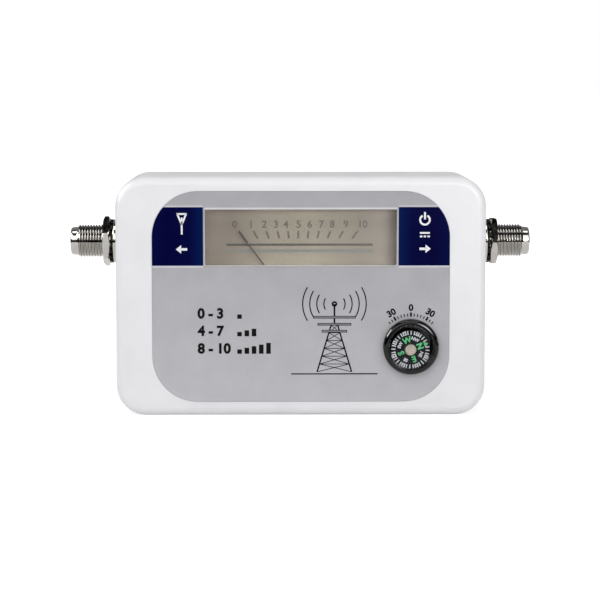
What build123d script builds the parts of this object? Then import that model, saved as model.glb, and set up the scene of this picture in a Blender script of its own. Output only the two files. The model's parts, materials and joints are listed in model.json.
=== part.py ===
from build123d import *
from math import asin, cos, degrees, pi, radians, sin, tan
import os

# Aerial signal finder: a moving-coil meter and a button compass in a two-part case, with a coaxial
# connector on each side. Millimetres. +X is to the right seen from the front, +Y runs from the front
# face to the back, +Z is up. The origin is the centre of the bottom side, which the case stands on.

# Case
case_width = 105.0
case_height = 68.0
case_depth = 33.0
case_corner_radius = 8.5
case_edge_radius = 2.4
case_wall = 2.2
case_seam_chamfer = 0.25
lip_thickness = 1.0
lip_height = 1.6
lip_clearance = 0.1

# Case screws, driven from the back into the front case
post_inset_x = 9.0
post_inset_z = 8.5
front_boss_radius = 3.4
rear_post_radius = 4.4
case_screw_radius = 1.5
case_screw_length = 14.0
case_screw_head_radius = 2.8
case_screw_head_height = 2.0
case_screw_recess_depth = 9.0
case_screw_recess_radius = 3.1
screw_hole_clearance = 0.2
screw_bite_clearance = 0.02
screw_slot_width = 0.6
screw_slot_depth_share = 0.5
screw_head_edge_share = 0.33
screw_point_share = 0.5

# Front label, let into the case
label_side_margin = 10.45
label_end_margin = 4.1
label_width = case_width - 2 * label_side_margin
label_height = case_height - 2 * label_end_margin
label_corner_radius = 13.0
label_thickness = 0.4
label_recess = 0.3
label_side_clearance = 0.1

# Meter window, whose middle hangs from the top of the case
window_width = 54.4
window_height = 15.9
window_drop = 17.15
window_z = case_height - window_drop
window_corner_radius = 0.4
lens_clearance = 0.1
lens_flange_width = 1.8
lens_flange_thickness = 1.2

# Meter frame: a tray behind the window and a shelf below it that holds the movement
tray_wall = 1.2
tray_depth = 7.0
tray_floor = 1.2
tray_ledge = 1.0
shelf_half_width = 11.0
shelf_drop = 4.0
meter_ear_radius = 3.0
meter_ear_thickness = 1.5
meter_ear_reach = 3.2
meter_boss_height = 3.0
meter_boss_radius = 2.5
meter_screw_radius = 1.1
meter_screw_length = 4.0
meter_screw_head_radius = 2.0
meter_screw_head_height = 1.3

# Scale plate
plate_setback = 2.3
plate_thickness = 0.4
plate_clearance = 0.15
tongue_half_width = 8.0
tongue_reach = 5.3

# Needle, whose pivot hangs from the window's middle
pivot_x = -0.7
pivot_drop = 21.15
pivot_z = window_z - pivot_drop
scale_half_angle = 36.75
overtravel_angle = 2.0
needle_length = 28.2
needle_blade_start = 24.2
needle_blade_width = 0.65
needle_arm_width = 0.34
needle_thickness = 0.25
needle_plate_gap = 0.65
hub_radius = 1.5
hub_overlap = 0.15
tail_length = 5.2
tail_width = 0.9
weight_radius = 1.6
weight_thickness = 1.2
needle_gate_margin = 1.0
stop_pin_radius = 0.4
stop_pin_orbit = 9.0
stop_pin_clearance = 0.1

# Moving-coil movement, symmetrical front to back about its own centre
core_radius = 4.0
core_length = 7.2
coil_core_gap = 0.5
coil_end_gap = 0.5
coil_thickness = 0.8
coil_width = 3.0
coil_corner_radius = 0.5
yoke_inner_radius = 6.2
yoke_wall = 2.0
yoke_length = 6.6
yoke_seat_drop = 7.6
spacer_angles = (90, 270)
spacer_half_angle = 20.0
spacer_length = 5.0
spacer_clearance = 0.03
staff_radius = 0.6
staff_length = 2.2
pivot_radius = 0.35
pivot_length = 0.7
pivot_clearance = 0.05
shoulder_gap = 0.2
jewel_radius = 1.1
jewel_projection = 0.6
jewel_standoff = 0.2
jewel_slot_width = 0.35
bracket_sheet = 0.7
bracket_half_width = 4.0
bracket_front_gap = 0.4
fit_clearance = 0.02

# Hairsprings
spring_start_radius = 0.75
spring_pitch = 0.75
spring_turns = 3
spring_ribbon = 0.15
spring_width = 0.3
spring_gap = 0.15
spring_post_radius = 0.25
spring_post_gap = 0.05
rear_spring_gap = 0.9

# Meter terminals and their leads
terminal_x = 14.0
terminal_width = 2.6
terminal_thickness = 0.4
terminal_length = 4.2
lead_radius = 0.6
lead_clearance = 0.05
lead_drop = 5.35
lead_rise = 4.5
lead_bend_share = 0.45

# Circuit board and the parts soldered to its back
board_side_margin = 14.0
board_drop = 16.0
board_width = case_width - 2 * board_side_margin
board_height = 20.0
board_thickness = 1.6
board_z = case_height - board_drop
board_screw_place_share = 0.42
board_screw_rise = 5.5
board_post_radius = 2.8
board_screw_radius = 1.1
board_screw_length = 6.0
board_screw_head_radius = 2.1
board_screw_head_height = 1.4
solder_gap = 0.02
resistor_radius = 1.15
resistor_body_length = 6.2
resistor_span_share = 0.13
resistor_span = resistor_span_share * board_width
component_lead_radius = 0.3
component_lead_bend = 0.8
component_standoff = 0.3
component_edge_share = 0.33
resistor_column_shares = (-0.28, -0.12, 0.04)
resistor_row_shares = (0.05, 0.27)
ceramic_radius = 2.5
ceramic_thickness = 1.8
ceramic_lead_pitch = 2.5
ceramic_lead_length = 2.0
ceramic_place_shares = [(-0.43, -0.05), (-0.37, -0.33), (-0.25, -0.33), (-0.04, -0.3), (0.06, -0.3)]
electrolytic_radius = 3.1
electrolytic_height = 8.0
electrolytic_edge_radius = 0.5
electrolytic_place_share = (0.305, -0.24)
transistor_radius = 2.3
transistor_height = 4.6
transistor_flat = 1.2
transistor_place_shares = [(0.15, 0.2), (0.23, 0.2)]
transistor_standoff = 2.0
transistor_lead_pitch = 1.27
diode_radius = 0.9
diode_body_length = 3.8
diode_span = 7.0
diode_place_shares = [(0.43, -0.08), (0.43, -0.3)]
choke_radius = 2.1
choke_core_radius = 1.2
choke_winding_radius = 1.95
choke_height = 6.0
choke_cheek = 0.8
choke_place_share = (0.315, 0.18)

# Coaxial connectors, one on each side, with their axis in the parting plane
connector_drop = 19.4
connector_z = case_height - connector_drop
thread_radius = 4.7625
thread_nut_gap = 0.3
thread_end = 11.4
shank_radius = 4.5
connector_hole_clearance = 0.1
tip_length = 2.4
tip_base_radius = 4.1
tip_end_radius = 3.9
tip_edge_radius = 0.6
connector_bore_radius = 3.0
flange_radius = 6.2
flange_thickness = 1.6
flat_washer_thickness = 1.5
washer_radius = 6.3
washer_bore_clearance = 0.15
washer_edge_radius = 0.3
lock_washer_height = 0.9
lock_ring_radius = 5.55
lock_ring_thickness = 0.45
lock_tooth_count = 16
lock_tooth_width = 1.45
lock_tooth_twist = 14.0
nut_across_flats = 12.7
nut_thickness = 2.0
nut_chamfer = 0.5
nut_turns = {"left": 22.5, "right": 0.0}
insulator_clearance = 0.05
insulator_rear_length = 3.0
insulator_recess = 0.35
insulator_mouth_radius = 0.75
insulator_mouth_length = 1.6
contact_radius = 0.95
contact_bore_radius = 0.55
contact_bore_length = 8.0
contact_pin_radius = 0.4
contact_overlap = 2.5
contact_reach = board_width / 2 - contact_overlap

# Button compass
compass_side_margin = 21.3
compass_x = case_width / 2 - compass_side_margin
compass_z = 19.85
cup_radius = 7.05
cup_wall = 0.4
cup_depth = 6.0
cup_floor = 1.0
cup_clearance = 0.1
bezel_radius = 7.9
bezel_inner_radius = 6.3
bezel_crest_radius = 6.7
bezel_height = 2.0
cup_flange_thickness = 0.5
dome_rim_radius = 6.85
dome_radius = 6.2
dome_rise = 1.3
dome_thickness = 0.8
card_radius = 5.4
card_thickness = 0.5
card_setback = 1.2
cap_radius = 1.6
cap_bore_radius = 1.4
cap_height = 0.7
cap_roof = 0.3
card_magnet_outer_radius = 2.7
card_magnet_inner_radius = 1.5
card_magnet_thickness = 1.0
pin_radius = 0.25
pin_foot_radius = 1.0
pin_foot_height = 0.9
pin_tip_gap = 0.15
pin_point_share = 0.5
card_running_clearance = 0.05

# One overrun for every cut that runs out through a face
cut_overrun = 1.0

# Depths, from the front face to the back
front_y = -case_depth / 2
back_y = case_depth / 2
inner_front_y = front_y + case_wall
inner_back_y = back_y - case_wall
label_back_y = front_y + label_recess
label_front_y = label_back_y - label_thickness
lens_back_y = inner_front_y + lens_flange_thickness
plate_front_y = lens_back_y + plate_setback
plate_back_y = plate_front_y + plate_thickness
tray_back_y = lens_back_y + tray_depth
needle_back_y = plate_front_y - needle_plate_gap
needle_front_y = needle_back_y - needle_thickness
board_front_y = contact_pin_radius + solder_gap
board_back_y = board_front_y + board_thickness

case_middle_z = case_height / 2
tray_width = window_width + 2 * lens_flange_width
tray_height = window_height + 2 * lens_flange_width
tray_bottom_z = window_z - tray_height / 2
post_places = [
    (side * (case_width / 2 - post_inset_x), z)
    for side in (-1, 1)
    for z in (post_inset_z, case_height - post_inset_z)
]
meter_ear_places = [(side * (tray_width / 2 + meter_ear_reach), window_z) for side in (-1, 1)]
board_screw_places = [
    (side * board_screw_place_share * board_width, board_z + board_screw_rise) for side in (-1, 1)
]
connector_hole_radius = thread_radius + connector_hole_clearance
compass_hole_radius = cup_radius + cup_clearance

os.makedirs("parts", exist_ok=True)


def facing(y, x=0, z=0):
    # An upright plane at depth y. Its local axes run right and up, and its normal points to the front,
    # so a positive extrusion comes forward and a negative one goes back.
    return Plane(origin=(x, y, z), x_dir=(1, 0, 0), z_dir=(0, -1, 0))


def backing(y, x=0, z=0):
    # An upright plane at depth y whose normal points to the back.
    return Plane(origin=(x, y, z), x_dir=(1, 0, 0), z_dir=(0, 1, 0))


def case_outline(inset, mode=Mode.ADD):
    # The rounded outline of the case, drawn in by an inset.
    with Locations((0, case_middle_z)):
        RectangleRounded(
            case_width - 2 * inset, case_height - 2 * inset, case_corner_radius - inset, mode=mode
        )


def cut_connector_holes():
    # Each half of the case gets half of the hole in each side wall.
    wall_middle_x = (case_width - case_wall) / 2
    with Locations((-wall_middle_x, 0, connector_z), (wall_middle_x, 0, connector_z)):
        Cylinder(
            connector_hole_radius,
            case_wall + 2 * cut_overrun,
            rotation=(0, 90, 0),
            mode=Mode.SUBTRACT,
        )


def board_place(share):
    # A place on the circuit board, from a share of its width and height.
    return (share[0] * board_width, board_z + share[1] * board_height)


# Front case
with BuildPart() as front_case:
    with BuildSketch(facing(0)):
        case_outline(0)
    extrude(amount=case_depth / 2)
    fillet(front_case.faces().sort_by(Axis.Y)[0].edges(), case_edge_radius)
    with BuildSketch(facing(0)):
        case_outline(case_wall)
    extrude(amount=-inner_front_y, mode=Mode.SUBTRACT)
    # the rebate that the rear case's lip slides into
    with BuildSketch(facing(0)):
        case_outline(case_wall - lip_thickness - lip_clearance)
    extrude(amount=lip_height + lip_clearance, mode=Mode.SUBTRACT)
    # bosses for the case screws and for the meter
    with BuildSketch(facing(inner_front_y)):
        with Locations(*post_places):
            Circle(front_boss_radius)
    extrude(amount=inner_front_y)
    with BuildSketch(facing(inner_front_y)):
        with Locations(*meter_ear_places):
            Circle(meter_boss_radius)
    extrude(amount=-meter_boss_height)
    # the label's recess, the window and the compass hole
    with BuildSketch(facing(front_y)):
        with Locations((0, case_middle_z)):
            RectangleRounded(
                label_width + 2 * label_side_clearance,
                label_height + 2 * label_side_clearance,
                label_corner_radius + label_side_clearance,
            )
    extrude(amount=-label_recess, mode=Mode.SUBTRACT)
    with BuildSketch(facing(inner_front_y)):
        with Locations((0, window_z)):
            RectangleRounded(window_width, window_height, window_corner_radius)
        with Locations((compass_x, compass_z)):
            Circle(compass_hole_radius)
    extrude(amount=case_wall + cut_overrun, mode=Mode.SUBTRACT)
    # pilot holes, blind, for the screws
    with BuildSketch(facing(0)):
        with Locations(*post_places):
            Circle(case_screw_radius + screw_bite_clearance)
    extrude(amount=-inner_front_y, mode=Mode.SUBTRACT)
    with BuildSketch(facing(inner_front_y + meter_boss_height)):
        with Locations(*meter_ear_places):
            Circle(meter_screw_radius + screw_bite_clearance)
    extrude(amount=meter_boss_height, mode=Mode.SUBTRACT)
    cut_connector_holes()
front_case.part.label = "front_case"
export_step(front_case.part, "parts/front_case.step")

# Rear case
with BuildPart() as rear_case:
    with BuildSketch(facing(0)):
        case_outline(0)
    extrude(amount=-case_depth / 2)
    fillet(rear_case.faces().sort_by(Axis.Y)[-1].edges(), case_edge_radius)
    # the seam shows as a fine groove, cut from this half alone
    chamfer(rear_case.faces().sort_by(Axis.Y)[0].edges(), case_seam_chamfer)
    with BuildSketch(facing(0)):
        case_outline(case_wall)
    extrude(amount=-inner_back_y, mode=Mode.SUBTRACT)
    # the lip that slides into the front case
    with BuildSketch(facing(0)):
        case_outline(case_wall - lip_thickness)
        case_outline(case_wall, Mode.SUBTRACT)
    extrude(amount=lip_height)
    # posts for the case screws and for the circuit board
    with BuildSketch(facing(0)):
        with Locations(*post_places):
            Circle(rear_post_radius)
    extrude(amount=-inner_back_y)
    with BuildSketch(facing(board_back_y)):
        with Locations(*board_screw_places):
            Circle(board_post_radius)
    extrude(amount=-(inner_back_y - board_back_y))
    with Locations(*[backing(back_y, x, z) for x, z in post_places]):
        CounterBoreHole(
            case_screw_radius + screw_hole_clearance,
            case_screw_recess_radius,
            case_screw_recess_depth,
            case_depth / 2 + cut_overrun,
        )
    with BuildSketch(facing(board_back_y)):
        with Locations(*board_screw_places):
            Circle(board_screw_radius + screw_bite_clearance)
    extrude(amount=-board_screw_length, mode=Mode.SUBTRACT)
    cut_connector_holes()
rear_case.part.label = "rear_case"
export_step(rear_case.part, "parts/rear_case.step")


def screw(plane, radius, length, head_radius, head_height):
    # A slotted pan-head screw. The plane lies under the head, and its normal points out of the head.
    outward = Axis(plane.origin, plane.z_dir)
    with BuildPart() as piece:
        with BuildSketch(plane):
            Circle(head_radius)
        extrude(amount=head_height)
        head_edge = piece.edges().filter_by(GeomType.CIRCLE).sort_by(outward)[-1]
        fillet(head_edge, head_height * screw_head_edge_share)
        with BuildSketch(plane.offset(head_height)):
            Rectangle(2 * head_radius, screw_slot_width)
        extrude(amount=-head_height * screw_slot_depth_share, mode=Mode.SUBTRACT)
        with BuildSketch(plane):
            Circle(radius)
        extrude(amount=-length)
        point_edge = piece.edges().filter_by(GeomType.CIRCLE).sort_by(outward)[0]
        chamfer(point_edge, radius * screw_point_share)
    return piece.part


# Case screws
case_screw_seat_y = back_y - case_screw_recess_depth
case_screws_made = [
    screw(
        backing(case_screw_seat_y, x, z),
        case_screw_radius,
        case_screw_length,
        case_screw_head_radius,
        case_screw_head_height,
    )
    for x, z in post_places
]
with BuildPart() as case_screws:
    add(case_screws_made)
case_screws.part.label = "case_screws"
export_step(case_screws.part, "parts/case_screws.step")

# Front label: one printed sheet with the window and the compass hole cut out
with BuildPart() as front_label:
    with BuildSketch(facing(label_back_y)):
        with Locations((0, case_middle_z)):
            RectangleRounded(label_width, label_height, label_corner_radius)
        with Locations((0, window_z)):
            RectangleRounded(window_width, window_height, window_corner_radius, mode=Mode.SUBTRACT)
        with Locations((compass_x, compass_z)):
            Circle(compass_hole_radius, mode=Mode.SUBTRACT)
    extrude(amount=label_thickness)
front_label.part.label = "front_label"
export_step(front_label.part, "parts/front_label.step")

# Window lens: a clear block that fills the window, with a flange behind the case's wall
with BuildPart() as window_lens:
    with BuildSketch(facing(lens_back_y)):
        with Locations((0, window_z)):
            Rectangle(tray_width, tray_height)
    extrude(amount=lens_flange_thickness)
    with BuildSketch(facing(inner_front_y)):
        with Locations((0, window_z)):
            RectangleRounded(
                window_width - 2 * lens_clearance,
                window_height - 2 * lens_clearance,
                window_corner_radius,
            )
    extrude(amount=case_wall)
window_lens.part.label = "window_lens"
export_step(window_lens.part, "parts/window_lens.step")

# Meter frame
movement_half = (
    core_length / 2 + coil_end_gap + coil_thickness + staff_length + shoulder_gap + jewel_projection
)
movement_y = inner_front_y + bracket_front_gap + bracket_sheet + movement_half
yoke_outer_radius = yoke_inner_radius + yoke_wall
gate_half_width = (
    (tray_bottom_z + tray_wall - pivot_z) * tan(radians(scale_half_angle + overtravel_angle))
    + needle_gate_margin
)
inner_tray_width = tray_width - 2 * tray_wall
inner_tray_height = tray_height - 2 * tray_wall
with BuildPart() as meter_frame:
    with BuildSketch(facing(tray_back_y)):
        with Locations((0, window_z)):
            Rectangle(tray_width, tray_height)
    extrude(amount=tray_depth)
    # the shelf, which holds the yoke ring round more than half of it
    with BuildSketch(facing(tray_back_y)):
        with Locations((pivot_x, pivot_z - shelf_drop)):
            Rectangle(
                2 * shelf_half_width,
                tray_bottom_z - pivot_z + shelf_drop,
                align=(Align.CENTER, Align.MIN),
            )
    extrude(amount=tray_floor)
    # the ears that are screwed to the front case
    ear_y = inner_front_y + meter_boss_height
    with BuildSketch(facing(ear_y)):
        with Locations(*meter_ear_places):
            Circle(meter_ear_radius)
        with Locations((0, window_z)):
            Rectangle(tray_width + 2 * meter_ear_reach, 2 * meter_ear_radius)
    extrude(amount=-meter_ear_thickness)
    with BuildSketch(facing(lens_back_y)):
        with Locations((0, window_z)):
            Rectangle(inner_tray_width, inner_tray_height)
    extrude(amount=-(plate_back_y - lens_back_y), mode=Mode.SUBTRACT)
    with BuildSketch(facing(plate_back_y)):
        with Locations((0, window_z)):
            Rectangle(inner_tray_width - 2 * tray_ledge, inner_tray_height - 2 * tray_ledge)
    extrude(amount=-(tray_back_y - tray_floor - plate_back_y), mode=Mode.SUBTRACT)
    # the gate in the bottom wall that the needle and the plate's tongue pass through
    with BuildSketch(facing(lens_back_y)):
        with Locations((pivot_x, tray_bottom_z)):
            Rectangle(2 * gate_half_width, 2 * tray_wall)
    extrude(amount=-(plate_back_y - lens_back_y), mode=Mode.SUBTRACT)
    with BuildSketch(facing(tray_back_y - tray_floor)):
        with Locations((pivot_x, pivot_z)):
            Circle(yoke_outer_radius + fit_clearance)
    extrude(amount=-tray_floor, mode=Mode.SUBTRACT)
    with Locations(*[backing(ear_y + meter_ear_thickness, x, z) for x, z in meter_ear_places]):
        Hole(meter_screw_radius + screw_hole_clearance, meter_ear_thickness)
meter_frame.part.label = "meter_frame"
export_step(meter_frame.part, "parts/meter_frame.step")

# Meter screws
meter_screws_made = [
    screw(
        backing(ear_y + meter_ear_thickness, x, z),
        meter_screw_radius,
        meter_screw_length,
        meter_screw_head_radius,
        meter_screw_head_height,
    )
    for x, z in meter_ear_places
]
with BuildPart() as meter_screws:
    add(meter_screws_made)
meter_screws.part.label = "meter_screws"
export_step(meter_screws.part, "parts/meter_screws.step")

# Scale plate, with a tongue that reaches down towards the pivot
plate_bottom_z = window_z - inner_tray_height / 2 + plate_clearance
with BuildPart() as scale_plate:
    with BuildSketch(facing(plate_back_y)):
        with Locations((0, window_z)):
            Rectangle(inner_tray_width - 2 * plate_clearance, inner_tray_height - 2 * plate_clearance)
        with Locations((pivot_x, pivot_z + tongue_reach)):
            Rectangle(
                2 * tongue_half_width,
                plate_bottom_z - pivot_z - tongue_reach,
                align=(Align.CENTER, Align.MIN),
            )
    extrude(amount=plate_thickness)
scale_plate.part.label = "scale_plate"
export_step(scale_plate.part, "parts/scale_plate.step")

# Stop pins: the needle's arm meets one at each end of its travel
stop_angle = (
    scale_half_angle
    + overtravel_angle
    + degrees(asin((needle_arm_width / 2 + stop_pin_radius + stop_pin_clearance) / stop_pin_orbit))
)
with BuildPart() as stop_pins:
    with BuildSketch(facing(plate_front_y, pivot_x, pivot_z)):
        for side in (-1, 1):
            with Locations(
                (
                    side * stop_pin_orbit * sin(radians(stop_angle)),
                    stop_pin_orbit * cos(radians(stop_angle)),
                )
            ):
                Circle(stop_pin_radius)
    extrude(amount=needle_plate_gap + 2 * needle_thickness)
stop_pins.part.label = "stop_pins"
export_step(stop_pins.part, "parts/stop_pins.step")


def needle_facing(y):
    # As facing, about the pivot, with local y along the needle at the scale's zero.
    turn = radians(scale_half_angle)
    return Plane(origin=(pivot_x, y, pivot_z), x_dir=(cos(turn), 0, sin(turn)), z_dir=(0, -1, 0))


# Needle: hub, arm, blade and tail, with a weight that balances it about the pivot
with BuildPart() as needle:
    with BuildSketch(needle_facing(needle_back_y)):
        Rectangle(needle_arm_width, needle_length, align=(Align.CENTER, Align.MIN))
        with Locations((0, needle_blade_start)):
            Rectangle(
                needle_blade_width,
                needle_length - needle_blade_start,
                align=(Align.CENTER, Align.MIN),
            )
        Rectangle(tail_width, tail_length, align=(Align.CENTER, Align.MAX))
    extrude(amount=needle_thickness)
    with BuildSketch(needle_facing(needle_back_y + hub_overlap)):
        Circle(hub_radius)
    extrude(amount=needle_thickness + 2 * hub_overlap)
    with BuildSketch(needle_facing(needle_front_y - hub_overlap + weight_thickness)):
        with Locations((0, -tail_length)):
            Circle(weight_radius)
    extrude(amount=weight_thickness)
    with BuildSketch(needle_facing(needle_back_y + hub_overlap)):
        Circle(staff_radius + fit_clearance)
    extrude(amount=needle_thickness + 2 * hub_overlap, mode=Mode.SUBTRACT)
needle.part.label = "needle"
export_step(needle.part, "parts/needle.step")

# Moving coil: a loop across the core, square to the needle
coil_inner_half_width = core_radius + coil_core_gap
coil_inner_half_length = core_length / 2 + coil_end_gap
coil_half_length = coil_inner_half_length + coil_thickness
coil_turn = radians(scale_half_angle)
coil_plane = Plane(
    origin=(pivot_x, movement_y, pivot_z),
    x_dir=(cos(coil_turn), 0, sin(coil_turn)),
    z_dir=(-sin(coil_turn), 0, cos(coil_turn)),
)
with BuildPart() as moving_coil:
    with BuildSketch(coil_plane):
        RectangleRounded(
            2 * (coil_inner_half_width + coil_thickness),
            2 * coil_half_length,
            coil_corner_radius + coil_thickness,
        )
        RectangleRounded(
            2 * coil_inner_half_width,
            2 * coil_inner_half_length,
            coil_corner_radius,
            mode=Mode.SUBTRACT,
        )
    extrude(amount=coil_width / 2, both=True)
moving_coil.part.label = "moving_coil"
export_step(moving_coil.part, "parts/moving_coil.step")

# Pivot staffs, one on each end of the coil
with BuildPart() as pivot_staffs:
    for end, plane_at in ((-1, facing), (1, backing)):
        with BuildSketch(plane_at(movement_y + end * coil_half_length, pivot_x, pivot_z)):
            Circle(staff_radius)
        extrude(amount=staff_length)
        shoulder_y = movement_y + end * (coil_half_length + staff_length)
        with BuildSketch(plane_at(shoulder_y, pivot_x, pivot_z)):
            Circle(pivot_radius)
        extrude(amount=pivot_length)
pivot_staffs.part.label = "pivot_staffs"
export_step(pivot_staffs.part, "parts/pivot_staffs.step")

# Core magnet, fixed inside the coil
with BuildPart() as core_magnet:
    with BuildSketch(facing(movement_y, pivot_x, pivot_z)):
        Circle(core_radius)
    extrude(amount=core_length / 2, both=True)
core_magnet.part.label = "core_magnet"
export_step(core_magnet.part, "parts/core_magnet.step")

# Yoke ring round the coil, with a flat where it sits on the bracket
with BuildPart() as yoke_ring:
    with BuildSketch(facing(movement_y, pivot_x, pivot_z)):
        Circle(yoke_outer_radius)
        Circle(yoke_inner_radius, mode=Mode.SUBTRACT)
        with Locations((0, -yoke_seat_drop)):
            Rectangle(
                2 * yoke_outer_radius,
                yoke_outer_radius,
                align=(Align.CENTER, Align.MAX),
                mode=Mode.SUBTRACT,
            )
    extrude(amount=yoke_length / 2, both=True)
yoke_ring.part.label = "yoke_ring"
export_step(yoke_ring.part, "parts/yoke_ring.step")

# Spacers that hold the core in the ring, above and below, clear of the coil's swing
spacer_inner_radius = core_radius + spacer_clearance
spacer_outer_radius = yoke_inner_radius - spacer_clearance
with BuildPart() as core_spacers:
    for middle in spacer_angles:
        start = middle - spacer_half_angle
        with BuildSketch(facing(movement_y, pivot_x, pivot_z)):
            with BuildLine():
                inner = CenterArc((0, 0), spacer_inner_radius, start, 2 * spacer_half_angle)
                outer = CenterArc((0, 0), spacer_outer_radius, start, 2 * spacer_half_angle)
                Line(inner @ 0, outer @ 0)
                Line(inner @ 1, outer @ 1)
            make_face()
        extrude(amount=spacer_length / 2, both=True)
core_spacers.part.label = "core_spacers"
export_step(core_spacers.part, "parts/core_spacers.step")

# Movement bracket: a C of sheet metal whose two arms hold the jewel screws
bracket_half_length = movement_half + bracket_sheet
bracket_floor_z = pivot_z - yoke_seat_drop
spring_end_radius = spring_start_radius + spring_turns * spring_pitch + spring_ribbon
spring_post_x = spring_end_radius + spring_post_gap + spring_post_radius
front_spring_back_y = needle_front_y - hub_overlap - spring_gap
rear_spring_front_y = movement_y + coil_half_length + rear_spring_gap
with BuildPart() as movement_bracket:
    with BuildSketch(Plane.XY.offset(bracket_floor_z)):
        with Locations((pivot_x, movement_y)):
            Rectangle(2 * bracket_half_width, 2 * bracket_half_length)
    extrude(amount=-bracket_sheet)
    for arm_y in (movement_y - movement_half, movement_y + bracket_half_length):
        with BuildSketch(facing(arm_y, pivot_x, pivot_z)):
            Circle(bracket_half_width)
            Rectangle(
                2 * bracket_half_width,
                yoke_seat_drop + bracket_sheet,
                align=(Align.CENTER, Align.MAX),
            )
            Circle(jewel_radius + fit_clearance, mode=Mode.SUBTRACT)
        extrude(amount=bracket_sheet)
    # the posts that the springs' outer ends are fixed to
    with BuildSketch(facing(movement_y - movement_half, pivot_x + spring_post_x, pivot_z)):
        Circle(spring_post_radius)
    extrude(amount=-(front_spring_back_y - movement_y + movement_half))
    with BuildSketch(facing(movement_y + movement_half, pivot_x + spring_post_x, pivot_z)):
        Circle(spring_post_radius)
    extrude(amount=movement_y + movement_half - rear_spring_front_y)
movement_bracket.part.label = "movement_bracket"
export_step(movement_bracket.part, "parts/movement_bracket.step")

# Jewel screws: slotted, with the pivot's cup in the inner end
for name, end, plane_at in (("front_jewel_screw", 1, facing), ("rear_jewel_screw", -1, backing)):
    face_y = movement_y - end * (movement_half - jewel_projection)
    jewel_length = jewel_projection + bracket_sheet + jewel_standoff
    with BuildPart() as jewel_screw:
        with BuildSketch(plane_at(face_y, pivot_x, pivot_z)):
            Circle(jewel_radius)
        extrude(amount=jewel_length)
        with BuildSketch(plane_at(face_y - end * jewel_length, pivot_x, pivot_z)):
            Rectangle(2 * jewel_radius, jewel_slot_width)
        extrude(amount=-jewel_standoff, mode=Mode.SUBTRACT)
        with BuildSketch(plane_at(face_y, pivot_x, pivot_z)):
            Circle(pivot_radius + pivot_clearance)
        extrude(amount=pivot_length - shoulder_gap + pivot_clearance, mode=Mode.SUBTRACT)
    jewel_screw.part.label = name
    export_step(jewel_screw.part, f"parts/{name}.step")

# Hairsprings: a flat ribbon wound as half circles about two centres in turn
for name, back_face_y in (
    ("front_hairspring", front_spring_back_y),
    ("rear_hairspring", rear_spring_front_y + spring_width),
):
    with BuildPart() as hairspring:
        with BuildSketch(facing(back_face_y, pivot_x, pivot_z)):
            with BuildLine():
                for edge in (0, spring_ribbon):
                    for half_turn in range(2 * spring_turns):
                        CenterArc(
                            ((half_turn % 2) * spring_pitch / 2, 0),
                            spring_start_radius + half_turn * spring_pitch / 2 + edge,
                            180 * (half_turn % 2),
                            180,
                        )
                Line((spring_start_radius, 0), (spring_start_radius + spring_ribbon, 0))
                Line((spring_end_radius - spring_ribbon, 0), (spring_end_radius, 0))
            make_face()
        extrude(amount=spring_width)
    hairspring.part.label = name
    export_step(hairspring.part, f"parts/{name}.step")

# Meter terminals: two tags on the back of the tray
terminal_top_z = tray_bottom_z + terminal_length
with BuildPart() as meter_terminals:
    with BuildSketch(facing(tray_back_y)):
        with Locations(*[(side * terminal_x, tray_bottom_z) for side in (-1, 1)]):
            Rectangle(terminal_width, terminal_length, align=(Align.CENTER, Align.MIN))
    extrude(amount=-terminal_thickness)
meter_terminals.part.label = "meter_terminals"
export_step(meter_terminals.part, "parts/meter_terminals.step")

# Meter leads: down from the terminal, under the circuit board and up its back
lead_start_y = tray_back_y + terminal_thickness + lead_radius + lead_clearance
lead_end_y = board_back_y + lead_radius + lead_clearance
lead_end_z = board_z - board_height / 2 + lead_rise
lead_drop_z = tray_bottom_z - lead_drop
lead_bend = lead_bend_share * (lead_end_y - lead_start_y)
for name, x in (("red_lead", terminal_x), ("black_lead", -terminal_x)):
    with BuildPart() as lead:
        with BuildLine() as route:
            FilletPolyline(
                (x, lead_start_y, terminal_top_z),
                (x, lead_start_y, lead_drop_z),
                (x, lead_end_y, lead_drop_z),
                (x, lead_end_y, lead_end_z),
                radius=lead_bend,
            )
        path = route.wires()[0]
        with BuildSketch(Plane(origin=path @ 0, z_dir=path % 0)):
            Circle(lead_radius)
        sweep(path=path)
    length = path.length
    print(f"{name}: length {length:.1f} mm, bend radius {lead_bend:.2f} mm, volume over section times "
          f"length {lead.part.volume / (pi * lead_radius**2 * length):.4f}")
    lead.part.label = name
    export_step(lead.part, f"parts/{name}.step")

# Circuit board
with BuildPart() as circuit_board:
    with BuildSketch(facing(board_front_y)):
        with Locations((0, board_z)):
            Rectangle(board_width, board_height)
        with Locations(*board_screw_places):
            Circle(board_screw_radius + screw_hole_clearance, mode=Mode.SUBTRACT)
    extrude(amount=-board_thickness)
circuit_board.part.label = "circuit_board"
export_step(circuit_board.part, "parts/circuit_board.step")

# Board screws
board_screws_made = [
    screw(
        facing(board_front_y, x, z),
        board_screw_radius,
        board_screw_length,
        board_screw_head_radius,
        board_screw_head_height,
    )
    for x, z in board_screw_places
]
with BuildPart() as board_screws:
    add(board_screws_made)
board_screws.part.label = "board_screws"
export_step(board_screws.part, "parts/board_screws.step")


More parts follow.
